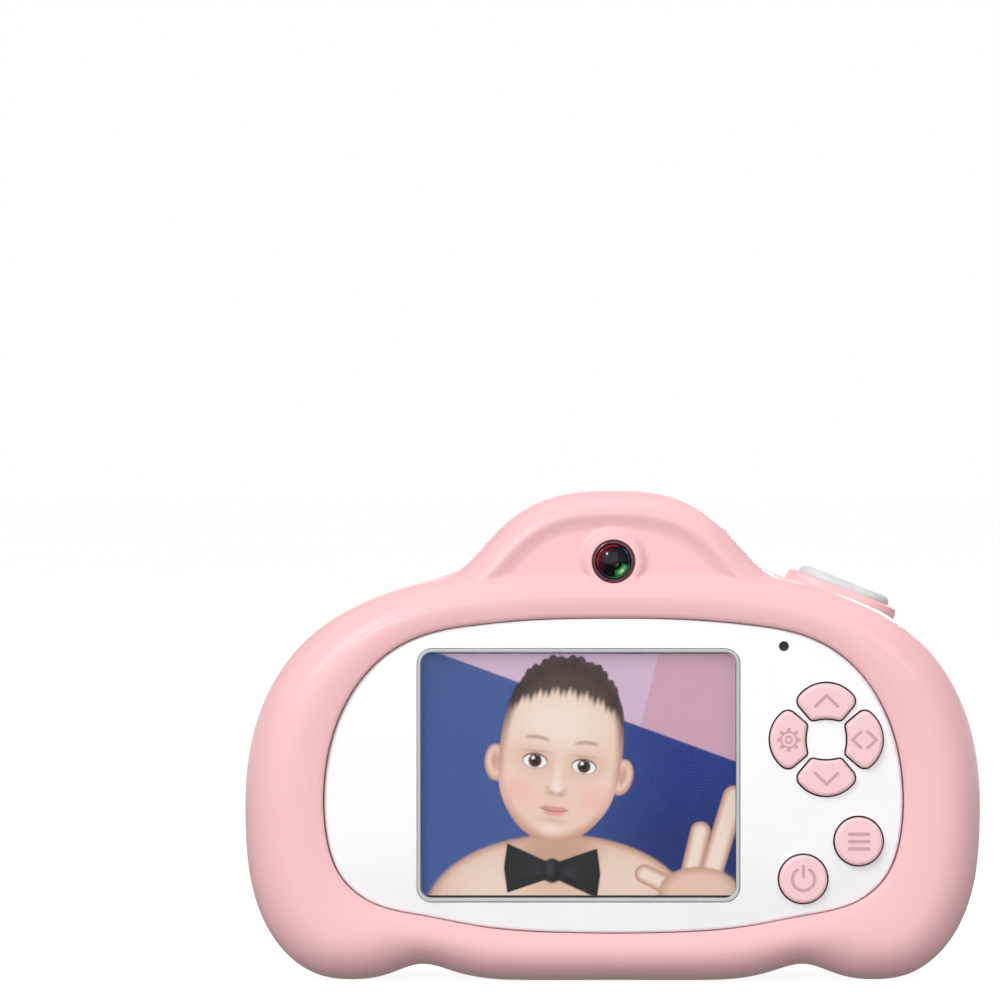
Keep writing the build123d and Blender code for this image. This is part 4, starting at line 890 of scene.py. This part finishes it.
def paint_head(c):
    """A calm toddler's head: eyes just under mid-height, about one eye's width apart."""
    skin, shade, light, hair = "f0cfbb", "cb9a84", "fae6d8", "2b1d19"
    for side in (-1, 1):
        c.lay(c.oval(side * 8.2, -2.0, 1.5, 2.4, 0.06, side * -8), shade)
        c.lay(c.oval(side * 8.25, -1.9, 1.15, 2.0, 0.25, side * -8), skin)
        c.lay(c.oval(side * 8.35, -1.8, 0.5, 1.2, 0.5, side * -8), "b87f6b", 0.6)
    width = 8.0 - 0.3 * smooth_step(c.z, 3, 11) - 0.5 * smooth_step(c.z, -5, -11)
    egg = (np.abs(c.x / width) ** 2.3 + np.abs((c.z - 0.3) / 11.7) ** 2.3) ** (1 / 2.3)
    head = smooth_step(egg, 1.008, 0.99)
    c.lay(head, shade)
    c.lay(smooth_step(egg, 1.0, 0.84), skin)
    c.lay(c.oval(-0.8, 4.2, 5.2, 3.2, 0.9) * head, light, 0.9)
    for side in (-1, 1):
        c.lay(c.oval(side * 4.9, -4.6, 2.6, 2.2, 0.95) * head, light, 0.6)
        c.lay(c.oval(side * 5.1, -5.2, 2.2, 1.7, 0.95) * head, "f0a597", 0.5)
    angle = np.arctan2(c.z - 1.0, c.x)
    spikes = 0.035 * np.abs(np.sin(11 * angle + 0.6)) + 0.03 * np.abs(np.sin(29 * angle))
    crown = smooth_step(egg - spikes * smooth_step(np.sin(angle), 0.45, 0.95), 1.045, 1.02)
    fringe = 8.0 + 0.25 * np.sin(3.1 * c.x + 0.4) + 0.25 * np.sin(8.3 * c.x) - 0.05 * c.x**2
    c.lay(crown * smooth_step(c.z - fringe, -0.6, 0.9), hair, 0.95)
    sides = smooth_step(egg, 0.84, 0.99) * smooth_step(c.z, -0.8, 5.5) * head
    c.lay(sides, hair, 0.7)
    strands = 0.5 + 0.5 * np.sin(26 * angle + 2.2 * np.sin(9 * angle))
    c.lay(crown * smooth_step(c.z - fringe, 0.2, 1.6) * strands, "5a4238", 0.35)
    for side in (-1, 1):
        paint_eye(c, side * 3.2, side)
        c.lay(c.oval(side * 0.6, -5.0, 0.3, 0.18, 0.5), "a56a58", 0.8)
        c.lay(c.oval(side * 1.0, -4.6, 0.4, 0.5, 0.7), shade, 0.5)
    c.lay(c.oval(0, -2.4, 0.5, 2.0, 0.95), light, 0.6)
    c.lay(c.oval(0, -4.3, 0.8, 0.7, 0.8), light, 0.9)
    c.lay(c.oval(0, -5.25, 1.1, 0.3, 0.9), "c38d79", 0.5)
    bow = 0.09 * c.x**2
    upper = smooth_step(np.abs(c.z + 7.05 - 0.5 * bow), 0.42, 0.1) * smooth_step(np.abs(c.x), 1.9, 1.1)
    c.lay(upper, "d98c84", 0.8)
    lower = smooth_step(np.abs(c.z + 7.75 - bow), 0.5, 0.1) * smooth_step(np.abs(c.x), 1.7, 0.8)
    c.lay(lower, "e8a39b", 0.9)
    between = smooth_step(np.abs(c.z + 7.42 - bow), 0.17, 0.03) * smooth_step(np.abs(c.x), 2.1, 1.6)
    c.lay(between, "96534c", 0.85)
    c.lay(c.oval(0, -8.7, 1.4, 0.3, 0.9), shade, 0.5)
    c.lay(c.oval(0, -9.8, 1.5, 0.8, 0.9), light, 0.6)


def painted_sheet(name, points, shape, colours, finish):
    """A gridded open sheet, with its colours as the paint layer."""
    rows, columns = shape
    faces = [
        (i * columns + j, i * columns + j + 1, (i + 1) * columns + j + 1, (i + 1) * columns + j)
        for i in range(rows - 1) for j in range(columns - 1)
    ]  # fmt: skip
    sheet = add_mesh(name, points, faces, finish)
    layer = sheet.data.color_attributes.new("paint", "FLOAT_COLOR", "POINT")
    values = np.concatenate((colours.reshape(-1, 3), np.ones((len(points), 1))), 1)
    layer.data.foreach_set("color", values.astype(np.float32).ravel())
    return sheet


def build_picture():
    """The photo shown on the display: a toddler in front of a blue and pink wall."""
    columns, rows = 312, 244
    across = np.linspace(-PICTURE_W / 2, PICTURE_W / 2, columns)
    up = np.linspace(-PICTURE_H / 2, PICTURE_H / 2, rows)
    x, z = np.meshgrid(across, up)
    scene = Canvas(x, z, "d8b8cf")
    paint_room(scene)
    paint_body(scene)
    tilt = radians(7)
    dx, dz = x + 2.3, z - 2.6
    scene.x, scene.z = dx * cos(tilt) - dz * sin(tilt), dx * sin(tilt) + dz * cos(tilt)
    paint_head(scene)
    points = np.stack((WINDOW_X - x, np.full(x.shape, 16.5), WINDOW_Z + z), -1).reshape(-1, 3)
    painted_sheet("screen_picture", points, x.shape, scene.rgb, PICTURE)


def build_window_border():
    """The narrow grey frame round the display window."""
    outer = (41.85, 32.85)
    levels = [  # width, height, y
        (*outer, 17.9), (*outer, 18.3), (41.65, 32.65, 18.42), (41.2, 32.15, 18.42), (40.95, 31.85, 18.25),
        (PICTURE_W, PICTURE_H, 18.02), (PICTURE_W, PICTURE_H, 17.9),
    ]  # fmt: skip
    rings = []
    for w, h, y in levels:
        corner = 1.9 - (outer[0] - w) / 2
        rings.append(np.array([(a, y, b) for a, b in rounded_rectangle(WINDOW_X, WINDOW_Z, w, h, corner)]))
    closed_rings("window_border", rings, BORDER_GREY)


# ------------------------------------------------------------------ lens elements with painted reflections
def painted_lens_reflections(u, v):
    """Painted reflections over a black lens, on the unit disc: red arcs, a bluish sheen, a green window with
    its bar, coloured rim arcs and a small glint.
    """
    c = Canvas(u, v, "050508")
    r, a = np.hypot(u, v), np.degrees(np.arctan2(v, u))

    def sector(start, end, soft=6.0):
        off = np.abs((a - (start + end) / 2 + 180) % 360 - 180)
        return smooth_step(off, (end - start) / 2 + soft, (end - start) / 2 - soft)

    def band(low, high, soft=0.03):
        return smooth_step(r, low - soft, low + soft) * smooth_step(r, high + soft, high - soft)

    # painted reflections: red arcs, a bluish sheen, a green window with its bar, coloured rim arcs and a
    # small glint
    c.lay(sector(90, 215, 25) * band(0.62, 0.88, 0.16), "5a0c20", 0.7)
    c.lay(sector(75, 195, 14) * band(0.86, 0.91, 0.02), "d0283c", 0.9)
    c.lay(c.oval(0.1, 0.45, 0.5, 0.25, 0.9), "1a1c26", 0.8)
    window = sector(-82, -14, 3) * band(0.50, 0.84, 0.02)
    c.lay(window, "1c7a34")
    c.lay(window * sector(-62, -30, 14) * band(0.62, 0.80, 0.06), "b5e6bd", 0.9)
    c.lay(sector(-36, -33, 2) * band(0.48, 0.86, 0.02), "071208")
    c.lay(sector(-105, -10, 20) * band(0.88, 0.925, 0.015), "3f9a4a", 0.9)
    c.lay(sector(5, 50, 12) * band(0.88, 0.925, 0.015), "24408f", 0.8)
    c.lay(sector(-150, -112, 12) * band(0.88, 0.925, 0.015), "24408f", 0.8)
    c.lay(c.oval(0.2, -0.2, 0.1, 0.05, 0.8, 40), "8a7a50", 0.5)
    return c.rgb


def lens_element(name, x, z, radius, edge_y, crest_y, facing):
    """A bulging black element with painted reflections that glow faintly; facing is -1 towards the front and
    1 towards the back.
    """
    rings, around = 44, 160
    r = np.linspace(0.004, 1, rings)[:, None]
    a = np.linspace(0, 2 * pi, around + 1)[None, :]
    u, v = r * np.cos(a), r * np.sin(a)
    y = np.broadcast_to(crest_y + (edge_y - crest_y) * r**2, u.shape)
    points = np.stack((x - facing * radius * u, y, z + radius * v), -1).reshape(-1, 3)
    painted_sheet(name, points, u.shape, painted_lens_reflections(u, v), LENS_REFLECTIONS)


def build_lens_gap_shades():
    """Dark rings on each side of the grey trim ring, standing in for the shade in its gaps: painted shade.
    """
    outer = [(12.08, -16.7), (12.08, -18.0), (12.2, -18.12), (12.36, -18.0), (12.36, -16.7)]
    inner = [(9.38, -16.7), (9.38, -18.32), (9.5, -18.42), (9.6, -18.32), (9.6, -16.7)]
    for name, outline in (("trim_gap_shade_outer", outer), ("trim_gap_shade_inner", inner)):
        lathe(name, outline, LENS_Z, GAP_SHADE_BROWN)


build_front_skin()
build_shutter_collar()
build_rear_skin()
build_lens_gap_shades()
build_icons()
build_picture()
build_window_border()
lens_element("front_lens_element", 0, LENS_Z, 6.35, -16.7, -17.85, -1)
lens_element("rear_lens_element", 0, SELFIE_Z, 2.33, 17.5, 17.95, 1)


# ------------------------------------------------------------------ stage, lights and camera
TOY_MIDDLE = Vector((0, 0, 0.03))  # from here on, places and sizes are in metres


def soft_light(name, place, size, power, shine=True):
    """An area lamp aimed at the toy; one without shine adds no highlight to glossy edges."""
    data = bpy.data.lights.new(name, "AREA")
    data.shape, data.size, data.size_y, data.energy = "RECTANGLE", size[0], size[1], power
    lamp = bpy.data.objects.new(name, data)
    lamp.location = place
    lamp.rotation_euler = (TOY_MIDDLE - Vector(place)).to_track_quat("-Z", "Y").to_euler()
    lamp.visible_camera = False
    lamp.visible_glossy = shine
    bpy.context.scene.collection.objects.link(lamp)


def build_floor():
    """A pale floor, glowing so that it reads white; it doesn't light the toy from below."""
    pale = material(
        "floor_pale", (0.30, 0.30, 0.30), 0.7, other=(0.304, 0.304, 0.304), scale=3,
        emission=2.95, specular=0.0,
    )  # fmt: skip
    reach = 12
    floor = add_mesh(
        "studio_floor", [(-reach, -reach, 0), (reach, -reach, 0), (reach, reach, 0), (-reach, reach, 0)],
        [(0, 1, 2, 3)], pale, None, scale=1.0,
    )  # fmt: skip
    floor.visible_diffuse = floor.visible_glossy = False


def build_world():
    """A white sweep round the horizon, dimmer above and below it."""
    world = bpy.data.worlds.new("studio")
    world.use_nodes = True
    nodes, links = world.node_tree.nodes, world.node_tree.links
    way = nodes.new("ShaderNodeTexCoord")
    split = nodes.new("ShaderNodeSeparateXYZ")
    links.new(way.outputs["Generated"], split.inputs[0])
    height = nodes.new("ShaderNodeMapRange")
    height.inputs["From Min"].default_value = -0.1
    height.inputs["From Max"].default_value = 0.4
    links.new(split.outputs["Z"], height.inputs["Value"])
    sweep = nodes.new("ShaderNodeValToRGB")
    stops = ((0.0, 0.26), (0.1, 0.26), (0.16, 1.0), (0.46, 1.0), (0.66, 0.45), (1.0, 0.32))
    while len(sweep.color_ramp.elements) < len(stops):
        sweep.color_ramp.elements.new(0.5)
    for element, (place, level) in zip(sweep.color_ramp.elements, stops):
        element.position, element.color = place, (level, level, level * 1.01, 1)
    links.new(height.outputs["Result"], sweep.inputs["Fac"])
    links.new(sweep.outputs["Color"], nodes["Background"].inputs["Color"])
    bpy.context.scene.world = world
    bpy.context.scene.view_settings.view_transform = "Standard"


def build_lights():
    """Soft lamps behind, in front of and over the toy, and two small ones for highlights."""
    soft_light("back_left", (0.5, 0.7, 0.65), (0.3, 0.5), 4.6)
    soft_light("back_right", (-0.55, 0.7, 0.6), (0.25, 0.5), 1.6)
    soft_light("back_fill", (0.1, 1.1, 0.2), (0.7, 0.6), 2.3)
    soft_light("front_left", (-0.45, -0.55, 0.8), (0.3, 0.5), 3.6, False)
    soft_light("front_right", (0.5, -0.55, 0.75), (0.25, 0.5), 1.2, False)
    soft_light("front_fill", (-0.1, -1.1, 0.2), (0.7, 0.6), 1.4)
    soft_light("overhead", (0, 0, 1.1), (0.6, 0.6), 1.2)
    soft_light("back_spark", (0.22, 0.84, 0.33), (0.05, 0.08), 1.0)
    soft_light("front_spark", (-0.22, -0.84, 0.27), (0.05, 0.08), 1.0)


def build_camera():
    """Behind the toy and about level with its top; the toy is at the lower right of the frame."""
    data = bpy.data.cameras.new("studio_camera")
    data.lens, data.sensor_width = 200, 36
    eye = bpy.data.objects.new("studio_camera", data)
    frame_width = 0.131  # what the picture spans at the toy's widest section, in metres
    distance = frame_width * data.lens / data.sensor_width
    target = Vector((0.01473, 0.011, 0.06273))
    eye.location = target + Vector((0, distance, 0.004))
    eye.rotation_euler = (target - eye.location).to_track_quat("-Z", "Y").to_euler()
    data.clip_start, data.clip_end = 0.01, 20
    bpy.context.scene.collection.objects.link(eye)
    bpy.context.scene.camera = eye


build_floor()
build_world()
build_lights()
build_camera()
